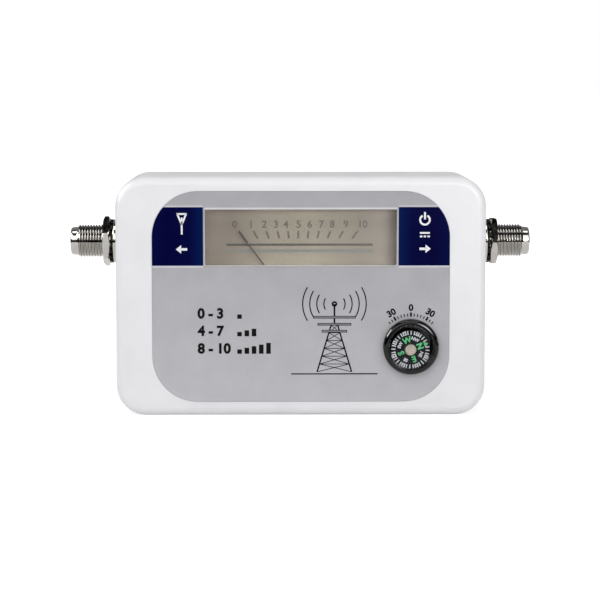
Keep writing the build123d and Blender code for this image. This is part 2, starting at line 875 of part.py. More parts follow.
def axial_part(place, radius, body_length, span):
    # A component lying along X on the board's back, with its wires bent down to the board at both ends.
    x, z = place
    middle_y = board_back_y + component_standoff + radius
    with BuildPart() as piece:
        with BuildSketch(Plane.YZ.offset(x)):
            with Locations((middle_y, z)):
                Circle(radius)
        extrude(amount=body_length / 2, both=True)
        fillet(piece.edges().filter_by(GeomType.CIRCLE), radius * component_edge_share)
        with BuildLine() as wire:
            FilletPolyline(
                (x - span / 2, board_back_y, z),
                (x - span / 2, middle_y, z),
                (x + span / 2, middle_y, z),
                (x + span / 2, board_back_y, z),
                radius=component_lead_bend,
            )
        path = wire.wires()[0]
        with BuildSketch(Plane(origin=path @ 0, z_dir=path % 0)):
            Circle(component_lead_radius)
        sweep(path=path)
    return piece.part


# Resistors and detector diodes
resistors_made = [
    axial_part(board_place((column, row)), resistor_radius, resistor_body_length, resistor_span)
    for row in resistor_row_shares
    for column in resistor_column_shares
]
with BuildPart() as resistors:
    add(resistors_made)
resistors.part.label = "resistors"
export_step(resistors.part, "parts/resistors.step")

diodes_made = [
    axial_part(board_place(share), diode_radius, diode_body_length, diode_span)
    for share in diode_place_shares
]
with BuildPart() as detector_diodes:
    add(diodes_made)
detector_diodes.part.label = "detector_diodes"
export_step(detector_diodes.part, "parts/detector_diodes.step")

# Ceramic capacitors: discs on two wires
with BuildPart() as ceramic_capacitors:
    for share in ceramic_place_shares:
        x, z = board_place(share)
        disc_y = board_back_y + ceramic_lead_length + ceramic_radius
        with BuildSketch(Plane.XY.offset(z)):
            with Locations((x, disc_y)):
                Circle(ceramic_radius)
        extrude(amount=ceramic_thickness / 2, both=True)
        with BuildSketch(backing(board_back_y, x, z)):
            with Locations((-ceramic_lead_pitch / 2, 0), (ceramic_lead_pitch / 2, 0)):
                Circle(component_lead_radius)
        extrude(amount=ceramic_lead_length + ceramic_radius)
ceramic_capacitors.part.label = "ceramic_capacitors"
export_step(ceramic_capacitors.part, "parts/ceramic_capacitors.step")

# Electrolytic capacitor: a can standing on the board
with BuildPart() as electrolytic_capacitor:
    with BuildSketch(backing(board_back_y, *board_place(electrolytic_place_share))):
        Circle(electrolytic_radius)
    extrude(amount=electrolytic_height)
    fillet(
        electrolytic_capacitor.edges().filter_by(GeomType.CIRCLE).sort_by(Axis.Y)[-1],
        electrolytic_edge_radius,
    )
electrolytic_capacitor.part.label = "electrolytic_capacitor"
export_step(electrolytic_capacitor.part, "parts/electrolytic_capacitor.step")

# Transistors: flat-sided bodies on three wires
with BuildPart() as transistors:
    for share in transistor_place_shares:
        x, z = board_place(share)
        with BuildSketch(backing(board_back_y + transistor_standoff, x, z)):
            Circle(transistor_radius)
            with Locations((0, transistor_flat)):
                Rectangle(
                    2 * transistor_radius,
                    transistor_radius,
                    align=(Align.CENTER, Align.MIN),
                    mode=Mode.SUBTRACT,
                )
        extrude(amount=transistor_height)
        with BuildSketch(backing(board_back_y, x, z)):
            with GridLocations(transistor_lead_pitch, 0, 3, 1):
                Circle(component_lead_radius)
        extrude(amount=transistor_standoff)
transistors.part.label = "transistors"
export_step(transistors.part, "parts/transistors.step")

# Choke: a winding between two cheeks, standing on the board
with BuildPart() as choke_coil:
    choke_x, choke_z = board_place(choke_place_share)
    with BuildSketch(backing(board_back_y, choke_x, choke_z)):
        Circle(choke_radius)
    extrude(amount=choke_height)
    with BuildSketch(backing(board_back_y + choke_cheek, choke_x, choke_z)):
        Circle(choke_radius)
        Circle(choke_core_radius, mode=Mode.SUBTRACT)
    extrude(amount=choke_height - 2 * choke_cheek, mode=Mode.SUBTRACT)
choke_coil.part.label = "choke_coil"
export_step(choke_coil.part, "parts/choke_coil.step")

with BuildPart() as choke_winding:
    with BuildSketch(backing(board_back_y + choke_cheek, choke_x, choke_z)):
        Circle(choke_winding_radius)
        Circle(choke_core_radius + fit_clearance, mode=Mode.SUBTRACT)
    extrude(amount=choke_height - 2 * choke_cheek)
choke_winding.part.label = "choke_winding"
export_step(choke_winding.part, "parts/choke_winding.step")

# Coaxial connectors. Distances outward are measured from the side wall's outer face.
nut_start = flat_washer_thickness + lock_washer_height
nut_end = nut_start + nut_thickness
thread_start = nut_end + thread_nut_gap
tip_end = thread_end + tip_length
flange_inner = -(case_wall + flange_thickness)
washer_bore_radius = thread_radius + washer_bore_clearance
for name, side in (("left", -1), ("right", 1)):
    wall_x = side * case_width / 2
    axis = Axis((wall_x, 0, connector_z), (side, 0, 0))
    # local x runs outward and local y up
    profile_plane = Plane(origin=(wall_x, 0, connector_z), x_dir=(side, 0, 0), z_dir=(0, -side, 0))
    # the normal runs outward and local y up
    end_plane = Plane(origin=(wall_x, 0, connector_z), x_dir=(0, side, 0), z_dir=(side, 0, 0))

    # the barrel's threaded length is plain, at the thread's major radius; the nut grips its core
    with BuildPart() as connector_body:
        with BuildSketch(profile_plane):
            with BuildLine():
                Polyline(
                    (flange_inner, connector_bore_radius),
                    (flange_inner, flange_radius),
                    (-case_wall, flange_radius),
                    (-case_wall, shank_radius),
                    (thread_start, shank_radius),
                    (thread_start, thread_radius),
                    (thread_end, thread_radius),
                    (thread_end + thread_radius - tip_base_radius, tip_base_radius),
                    (tip_end, tip_end_radius),
                    (tip_end, connector_bore_radius),
                    close=True,
                )
            make_face()
        revolve(axis=axis)
        fillet(
            connector_body.edges()
            .filter_by(GeomType.CIRCLE)
            .filter_by(lambda edge: abs(edge.radius - tip_end_radius) < fit_clearance),
            tip_edge_radius,
        )
    connector_body.part.label = f"{name}_connector_body"
    export_step(connector_body.part, f"parts/{name}_connector_body.step")

    insulator_radius = connector_bore_radius - insulator_clearance
    insulator_back = flange_inner - insulator_rear_length
    insulator_front = tip_end - insulator_recess
    contact_front = insulator_front - insulator_mouth_length
    sleeve_radius = contact_radius + insulator_clearance
    with BuildPart() as insulator:
        with BuildSketch(profile_plane):
            with BuildLine():
                Polyline(
                    (insulator_back, sleeve_radius),
                    (insulator_back, insulator_radius),
                    (insulator_front, insulator_radius),
                    (insulator_front, insulator_mouth_radius),
                    (contact_front, insulator_mouth_radius),
                    (contact_front, sleeve_radius),
                    close=True,
                )
            make_face()
        revolve(axis=axis)
    insulator.part.label = f"{name}_insulator"
    export_step(insulator.part, f"parts/{name}_insulator.step")

    with BuildPart() as contact:
        with BuildSketch(end_plane.offset(insulator_back)):
            Circle(contact_radius)
        extrude(amount=contact_front - insulator_clearance - insulator_back)
        with BuildSketch(end_plane.offset(contact_front - insulator_clearance)):
            Circle(contact_bore_radius)
        extrude(amount=-contact_bore_length, mode=Mode.SUBTRACT)
        with BuildSketch(end_plane.offset(insulator_back)):
            Circle(contact_pin_radius)
        extrude(amount=-(case_width / 2 + insulator_back - contact_reach))
    contact.part.label = f"{name}_contact"
    export_step(contact.part, f"parts/{name}_contact.step")

    with BuildPart() as flat_washer:
        with BuildSketch(end_plane):
            Circle(washer_radius)
            Circle(washer_bore_radius, mode=Mode.SUBTRACT)
        extrude(amount=flat_washer_thickness)
        fillet(
            flat_washer.edges()
            .filter_by(GeomType.CIRCLE)
            .filter_by(lambda edge: abs(edge.radius - washer_radius) < fit_clearance),
            washer_edge_radius,
        )
    flat_washer.part.label = f"{name}_flat_washer"
    export_step(flat_washer.part, f"parts/{name}_flat_washer.step")

    # a ring with twisted teeth round its outside
    tooth_reach = washer_radius - lock_ring_radius
    tooth_turn = radians(lock_tooth_twist)
    tooth_thickness = (lock_washer_height - lock_tooth_width * sin(tooth_turn)) / cos(tooth_turn)
    lock_plane = end_plane.offset(flat_washer_thickness + lock_washer_height / 2)
    with BuildPart(lock_plane) as lock_washer:
        with BuildSketch(lock_plane):
            Circle(lock_ring_radius)
            Circle(washer_bore_radius, mode=Mode.SUBTRACT)
        extrude(amount=lock_ring_thickness / 2, both=True)
        with PolarLocations(lock_ring_radius, lock_tooth_count):
            Box(
                2 * tooth_reach,
                lock_tooth_width,
                tooth_thickness,
                rotation=(lock_tooth_twist, 0, 0),
                mode=Mode.ADD,
            )
        with BuildSketch(lock_plane):
            Circle(washer_radius)
            Circle(washer_bore_radius, mode=Mode.SUBTRACT)
        extrude(amount=lock_washer_height / 2, both=True, mode=Mode.INTERSECT)
    lock_washer.part.label = f"{name}_lock_washer"
    export_step(lock_washer.part, f"parts/{name}_lock_washer.step")

    # a hexagon whose corners are turned off at both faces
    nut_corner_radius = nut_across_flats / 2 / cos(pi / 6)
    with BuildPart() as nut:
        with BuildSketch(end_plane.offset(nut_start)):
            RegularPolygon(nut_corner_radius, 6, rotation=nut_turns[name])
            Circle(shank_radius + fit_clearance, mode=Mode.SUBTRACT)
        extrude(amount=nut_thickness)
        with BuildSketch(profile_plane):
            with BuildLine():
                Polyline(
                    (nut_start, 0),
                    (nut_start, nut_across_flats / 2),
                    (nut_start + nut_chamfer, nut_corner_radius),
                    (nut_end - nut_chamfer, nut_corner_radius),
                    (nut_end, nut_across_flats / 2),
                    (nut_end, 0),
                    close=True,
                )
            make_face()
        revolve(axis=axis, mode=Mode.INTERSECT)
    nut.part.label = f"{name}_nut"
    export_step(nut.part, f"parts/{name}_nut.step")

# Button compass. Its pieces turn about upright-facing axes, so each is drawn as a half section with
# local x as the radius and local y as the distance forward.
cup_front_y = label_front_y - cup_flange_thickness
cup_back_y = label_front_y + cup_depth
cup_floor_y = cup_back_y - cup_floor
card_front_y = front_y + card_setback
card_back_y = card_front_y + card_thickness
cap_front_y = card_front_y - cap_height
# upright, the loose card hangs on the pin until its cap's bore rests on it
card_sag = cap_bore_radius - pin_radius - card_running_clearance
card_z = compass_z - card_sag


def half_section(z, y=0):
    # Local x runs right from the compass's axis at height z, and local y forward from depth y.
    return Plane(origin=(compass_x, y, z), x_dir=(1, 0, 0), z_dir=(0, 0, -1))


def compass_axis(z):
    return Axis((compass_x, 0, z), (0, 1, 0))


with BuildPart() as compass_cup:
    with BuildSketch(half_section(compass_z)):
        with BuildLine():
            Polyline(
                (0, -cup_back_y),
                (cup_radius, -cup_back_y),
                (cup_radius, -label_front_y),
                (bezel_radius, -label_front_y),
                (bezel_radius, -cup_front_y),
                (dome_rim_radius + fit_clearance, -cup_front_y),
                (dome_rim_radius + fit_clearance, -label_front_y),
                (cup_radius - cup_wall, -label_front_y),
                (cup_radius - cup_wall, -cup_floor_y),
                (0, -cup_floor_y),
                close=True,
            )
        make_face()
    revolve(axis=compass_axis(compass_z))
compass_cup.part.label = "compass_cup"
export_step(compass_cup.part, "parts/compass_cup.step")

# Bezel: a rounded ring on the cup's flange, which traps the dome's rim; it falls away outward
bezel_outer_round = bezel_radius - bezel_crest_radius
bezel_inner_round = bezel_crest_radius - bezel_inner_radius
with BuildPart() as compass_bezel:
    with BuildSketch(half_section(compass_z, cup_front_y)):
        with BuildLine():
            outward = CenterArc(
                (bezel_crest_radius, bezel_height - bezel_outer_round), bezel_outer_round, 0, 90
            )
            inward = CenterArc(
                (bezel_crest_radius, bezel_height - bezel_inner_round), bezel_inner_round, 90, 90
            )
            Polyline(inward @ 1, (bezel_inner_radius, 0), (bezel_radius, 0), outward @ 0)
        make_face()
    revolve(axis=compass_axis(compass_z))
compass_bezel.part.label = "compass_bezel"
export_step(compass_bezel.part, "parts/compass_bezel.step")

# Dome: a thin clear cap with a flat rim
dome_sphere = (dome_radius**2 + dome_rise**2) / (2 * dome_rise)
dome_half_angle = degrees(asin(dome_radius / dome_sphere))
dome_inner_sphere = dome_sphere - dome_thickness
dome_inner_radius = dome_inner_sphere * sin(radians(dome_half_angle))
with BuildPart() as compass_dome:
    with BuildSketch(half_section(compass_z, cup_front_y)):
        with BuildLine():
            centre = (0, dome_rise - dome_sphere)
            outer = CenterArc(centre, dome_sphere, 90 - dome_half_angle, dome_half_angle)
            inner = CenterArc(centre, dome_inner_sphere, 90 - dome_half_angle, dome_half_angle)
            Line(inner @ 1, outer @ 1)
            Polyline(
                outer @ 0,
                (dome_rim_radius, 0),
                (dome_rim_radius, -cup_flange_thickness),
                (dome_inner_radius, -cup_flange_thickness),
                inner @ 0,
            )
        make_face()
    revolve(axis=compass_axis(compass_z))
compass_dome.part.label = "compass_dome"
export_step(compass_dome.part, "parts/compass_dome.step")

# Pin that the card turns on
pin_tip_y = cap_front_y + cap_roof + pin_tip_gap
with BuildPart() as compass_pin:
    with BuildSketch(facing(cup_floor_y, compass_x, compass_z)):
        Circle(pin_foot_radius)
    extrude(amount=pin_foot_height)
    with BuildSketch(facing(cup_floor_y, compass_x, compass_z)):
        Circle(pin_radius)
    extrude(amount=cup_floor_y - pin_tip_y)
    chamfer(compass_pin.edges().filter_by(GeomType.CIRCLE).sort_by(Axis.Y)[0], pin_radius * pin_point_share)
compass_pin.part.label = "compass_pin"
export_step(compass_pin.part, "parts/compass_pin.step")

# Card, its cap and its ring magnet, which turn together
with BuildPart() as compass_card:
    with BuildSketch(facing(card_back_y, compass_x, card_z)):
        Circle(card_radius)
        Circle(cap_bore_radius, mode=Mode.SUBTRACT)
    extrude(amount=card_thickness)
compass_card.part.label = "compass_card"
export_step(compass_card.part, "parts/compass_card.step")

with BuildPart() as card_cap:
    with BuildSketch(facing(card_front_y, compass_x, card_z)):
        Circle(cap_radius)
    extrude(amount=cap_height)
    fillet(card_cap.edges().filter_by(GeomType.CIRCLE).sort_by(Axis.Y)[0], cap_roof)
    with BuildSketch(facing(card_front_y, compass_x, card_z)):
        Circle(cap_bore_radius)
    extrude(amount=cap_height - cap_roof, mode=Mode.SUBTRACT)
card_cap.part.label = "card_cap"
export_step(card_cap.part, "parts/card_cap.step")

with BuildPart() as card_magnet:
    with BuildSketch(facing(card_back_y, compass_x, card_z)):
        Circle(card_magnet_outer_radius)
        Circle(card_magnet_inner_radius, mode=Mode.SUBTRACT)
    extrude(amount=-card_magnet_thickness)
card_magnet.part.label = "card_magnet"
export_step(card_magnet.part, "parts/card_magnet.step")
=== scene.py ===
import json
from math import atan2, ceil, cos, degrees, hypot, pi, radians, sin, tan

import bmesh
import bpy
from mathutils import Matrix, Vector


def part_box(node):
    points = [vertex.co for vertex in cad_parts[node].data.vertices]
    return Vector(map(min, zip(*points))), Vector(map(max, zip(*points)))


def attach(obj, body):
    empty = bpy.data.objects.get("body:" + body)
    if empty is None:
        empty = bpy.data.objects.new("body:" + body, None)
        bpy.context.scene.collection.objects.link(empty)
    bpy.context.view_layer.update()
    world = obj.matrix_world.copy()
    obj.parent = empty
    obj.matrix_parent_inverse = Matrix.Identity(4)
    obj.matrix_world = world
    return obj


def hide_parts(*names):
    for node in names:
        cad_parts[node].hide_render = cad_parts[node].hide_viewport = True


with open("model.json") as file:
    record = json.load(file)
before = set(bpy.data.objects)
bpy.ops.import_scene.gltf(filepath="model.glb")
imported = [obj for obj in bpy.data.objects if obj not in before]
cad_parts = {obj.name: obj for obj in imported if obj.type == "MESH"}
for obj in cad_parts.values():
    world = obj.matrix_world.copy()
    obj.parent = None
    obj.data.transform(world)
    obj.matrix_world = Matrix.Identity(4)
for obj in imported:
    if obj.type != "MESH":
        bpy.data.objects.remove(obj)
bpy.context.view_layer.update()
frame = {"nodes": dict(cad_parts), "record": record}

nodes = frame["nodes"]
mm = 0.001  # lengths are in millimetres unless a note says otherwise
connectorAxis = 48.6  # height above the base
compassMiddle = (31.2, 19.85)  # to the right of the middle, and above the base
print("packed model loaded:", len(nodes), "nodes")


def toLinear(hexColour):
    # an sRGB hex value as the linear colour that shaders take
    channels = [int(hexColour[i:i + 2], 16) / 255 for i in (0, 2, 4)]
    return [c / 12.92 if c <= 0.04045 else ((c + 0.055) / 1.055) ** 2.4 for c in channels] + [1.0]


def addNode(tree, kind, sockets=None, **settings):
    # adds a node with its settings, its values and its links; a Mix node's colours are sockets 6 and 7
    # in and 2 out
    node = tree.nodes.new("ShaderNode" + kind)
    for name, value in settings.items():
        setattr(node, name, value)
    for key, value in (sockets or {}).items():
        if isinstance(value, bpy.types.NodeSocket):
            tree.links.new(value, node.inputs[key])
        else:
            node.inputs[key].default_value = value
    return node


def startMaterial(name):
    # an empty material, its node tree and the object's own coordinates
    material = bpy.data.materials.new(name)
    material.use_nodes = True
    tree = material.node_tree
    tree.nodes.clear()
    return material, tree, addNode(tree, "TexCoord").outputs["Object"]


def setRamp(node, stops):
    # stops are (position, hex colour), in order
    ramp = node.color_ramp
    while len(ramp.elements) > 1:
        ramp.elements.remove(ramp.elements[-1])
    for i, (position, hexColour) in enumerate(stops):
        stop = ramp.elements[0] if i == 0 else ramp.elements.new(position)
        stop.position, stop.color = position, toLinear(hexColour)
    return node.outputs["Color"]


def spreadRamp(tree, value, stops):
    # a ramp over a length: stops are (place in millimetres, hex colour)
    low, high = stops[0][0], stops[-1][0]
    share = addNode(tree, "MapRange", {"Value": value, "From Min": low * mm,
                                       "From Max": high * mm}).outputs[0]
    return setRamp(addNode(tree, "ValToRGB", {"Fac": share}),
                   [((at - low) / (high - low), colour) for at, colour in stops])


def showMesh(bm, name, material):
    # turns a finished bmesh into an object at the origin
    mesh = bpy.data.meshes.new(name)
    bm.to_mesh(mesh)
    bm.free()
    mesh.materials.append(material)
    shown = bpy.data.objects.new(name, mesh)
    bpy.context.scene.collection.objects.link(shown)
    return shown


def addPiece(bm, name, material, body="case", smoothAngle=None):
    # a new piece of the object, which rides on a body
    bmesh.ops.recalc_face_normals(bm, faces=bm.faces)
    piece = showMesh(bm, name, material)
    if smoothAngle is not None:
        piece.data.shade_smooth()
        piece.data.set_sharp_from_angle(angle=radians(smoothAngle))
    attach(piece, body)
    return piece


cameraLook = {
    "target": (0.0, -16.5, 34.0),
    "distance": 583.12,
    "elevation": 6.28,  # degrees above the horizon
    "azimuth": -0.706,  # degrees, a little to the left
    "sensor": 36.0,
    "lens": 123.57,
    "shift": (-0.00153, -0.00512),
    "clip": (0.01, 50.0),  # metres
}


def makeCamera(look):
    turn, rise = radians(look["azimuth"]), radians(look["elevation"])
    back = Vector((sin(turn) * cos(rise), -cos(turn) * cos(rise), sin(rise)))
    camera = bpy.data.objects.new("photoCamera", bpy.data.cameras.new("photoCamera"))
    bpy.context.scene.collection.objects.link(camera)
    camera.location = (Vector(look["target"]) + back * look["distance"]) * mm
    camera.rotation_euler = (-back).to_track_quat("-Z", "Y").to_euler()
    camera.data.sensor_width, camera.data.lens = look["sensor"], look["lens"]
    camera.data.shift_x, camera.data.shift_y = look["shift"]
    camera.data.clip_start, camera.data.clip_end = look["clip"]
    bpy.context.scene.camera = camera


studio = {
    "ambient": 0.75,  # the world's strength as a light
    # name: (place and aim in metres, width, height, watts); gloss doesn't show them
    "lamps": {
        "keyLamp": ((-0.4, -1.1, 0.9), (0.0, 0.0, 0.03), 1.0, 0.8, 3.8),
        "fillLamp": ((0.8, -1.1, 0.3), (0.0, 0.0, 0.03), 0.8, 0.8, 1.4),
    },
    # boards that only gloss shows: (lowest and highest angle, first and last bearing, distance in
    # metres, glow); those without a glow are black
    "boards": {
        "horizonBoard": (-5.0, 12.0, -180.0, 180.0, 0.45, 0.0),
        "lowGlow": (13.0, 44.0, -64.0, 64.0, 2.0, 2.2),
        "leftBoard": (-5.0, 44.0, -100.0, -66.0, 2.0, 0.0),
        "rightBoard": (-5.0, 44.0, 66.0, 100.0, 2.0, 0.0),
        "upperBoard": (46.0, 64.0, -100.0, 100.0, 2.0, 0.0),
        "highGlow": (66.0, 84.0, -100.0, 100.0, 2.0, 3.2),
        "topBoard": (86.0, 90.0, -180.0, 180.0, 2.0, 0.0),
        "crownBoard": (66.0, 86.0, 100.0, 260.0, 2.0, 0.0),
        "backBoard": (13.0, 66.0, 100.0, 260.0, 2.0, 0.3),
        "leftGleam": (17.0, 38.0, -92.0, -64.0, 0.44, 28.0),
        "rightGleam": (5.0, 21.0, 17.0, 36.0, 0.44, 26.0),
    },
    "boardColour": "050505",
    "boardMiddle": 0.04,  # height in metres of the middle that the boards stand round
    "boardSteps": (6, 48),  # upward and round
}


def isSeenDirectly(tree):
    # 1 for camera, glossy and transmission rays, so that metal and glass show the same background
    rays = addNode(tree, "LightPath").outputs
    first = addNode(tree, "Math", {0: rays["Is Camera Ray"], 1: rays["Is Glossy Ray"]},
                    operation="MAXIMUM").outputs[0]
    return addNode(tree, "Math", {0: first, 1: rays["Is Transmission Ray"]}, operation="MAXIMUM").outputs[0]


def makeWorld(look):
    world = bpy.data.worlds.new("studioWorld")
    bpy.context.scene.world = world
    world.use_nodes = True
    tree = world.node_tree
    tree.nodes.clear()
    light = addNode(tree, "MapRange", {"Value": isSeenDirectly(tree), "To Min": look["ambient"],
                                       "To Max": 1.0}).outputs[0]
    sky = addNode(tree, "Background", {"Color": toLinear("FFFFFF"), "Strength": light})
    addNode(tree, "OutputWorld", {"Surface": sky.outputs[0]})


def makeLamps(look):
    for name, (place, aim, width, height, watts) in look["lamps"].items():
        light = bpy.data.lights.new(name, "AREA")
        light.shape, light.size, light.size_y, light.energy = "RECTANGLE", width, height, watts
        lamp = bpy.data.objects.new(name, light)
        bpy.context.scene.collection.objects.link(lamp)
        lamp.location = place
        lamp.rotation_euler = (Vector(aim) - Vector(place)).to_track_quat("-Z", "Y").to_euler()
        lamp.visible_glossy = False


# Matt pale paint. A glow that grows with distance joins the floor to the white background.
floorLook = {
    "radius": 6.0, "sides": 96,  # radius in metres
    "drop": 0.05,  # below the object
    "colour": "B4B4B4",
    "bounce": "FBFBFB",  # the colour that lights the object from below
    "glow": (0.70, 1.0),  # beside the object, and far from it
    "glowReach": (0.10, 0.50),  # metres
    "grain": 2.5, "rough": (0.85, 0.95),
}


def makeFloor(look):
    material, tree, place = startMaterial("paintedFloor")
    away = addNode(tree, "VectorMath", {0: place}, operation="LENGTH").outputs["Value"]
    near, far = look["glowReach"]
    low, high = look["glow"]
    glow = addNode(tree, "MapRange", {"Value": away, "From Min": near, "From Max": far, "To Min": low,
                                      "To Max": high}, interpolation_type="SMOOTHSTEP").outputs[0]
    grain = addNode(tree, "TexNoise", {"Vector": place, "Scale": 1 / (look["grain"] * mm),
                                       "Detail": 2.0}).outputs["Fac"]
    low, high = look["rough"]
    rough = addNode(tree, "MapRange", {"Value": grain, "To Min": low, "To Max": high}).outputs[0]
    direct = isSeenDirectly(tree)
    tone = addNode(tree, "Mix", {0: direct, 6: toLinear(look["bounce"]), 7: toLinear(look["colour"])},
                   data_type="RGBA").outputs[2]
    paint = addNode(tree, "BsdfDiffuse", {"Color": tone, "Roughness": rough})
    seen = addNode(tree, "Math", {0: direct, 1: glow}, operation="MULTIPLY").outputs[0]
    shine = addNode(tree, "Emission", {"Color": toLinear("FFFFFF"), "Strength": seen})
    both = addNode(tree, "AddShader", {0: paint.outputs[0], 1: shine.outputs[0]})
    addNode(tree, "OutputMaterial", {"Surface": both.outputs[0]})
    bm = bmesh.new()
    bmesh.ops.create_circle(bm, cap_ends=True, segments=look["sides"], radius=look["radius"])
    bmesh.ops.translate(bm, verts=bm.verts, vec=(0, 0, -look["drop"] * mm))
    showMesh(bm, "studioFloor", material)


def makeBoards(look):
    rows, columns = look["boardSteps"]
    for name, (low, high, first, last, reach, glow) in look["boards"].items():
        material, tree, _ = startMaterial("glowingCloth" if glow else "blackBoard")
        if glow:
            cover = addNode(tree, "Emission", {"Color": toLinear("FFFFFF"), "Strength": glow})
        else:
            cover = addNode(tree, "BsdfDiffuse", {"Color": toLinear(look["boardColour"])})
        addNode(tree, "OutputMaterial", {"Surface": cover.outputs[0]})
        bm = bmesh.new()
        angles = [radians(low + (high - low) * i / rows) for i in range(rows + 1)]
        points = [bm.verts.new((0, -reach * cos(a), reach * sin(a) + look["boardMiddle"])) for a in angles]
        edges = [bm.edges.new(pair) for pair in zip(points, points[1:])]
        bmesh.ops.rotate(bm, verts=points, matrix=Matrix.Rotation(radians(first), 3, "Z"))
        bmesh.ops.spin(bm, geom=points + edges, axis=(0, 0, 1), angle=radians(last - first), steps=columns)
        board = showMesh(bm, name, material)
        board.visible_camera = board.visible_diffuse = board.visible_shadow = False
        board.visible_transmission = False


makeCamera(cameraLook)
makeWorld(studio)
makeLamps(studio)
makeFloor(floorLook)
makeBoards(studio)
print("camera, lamps, floor and boards are set")

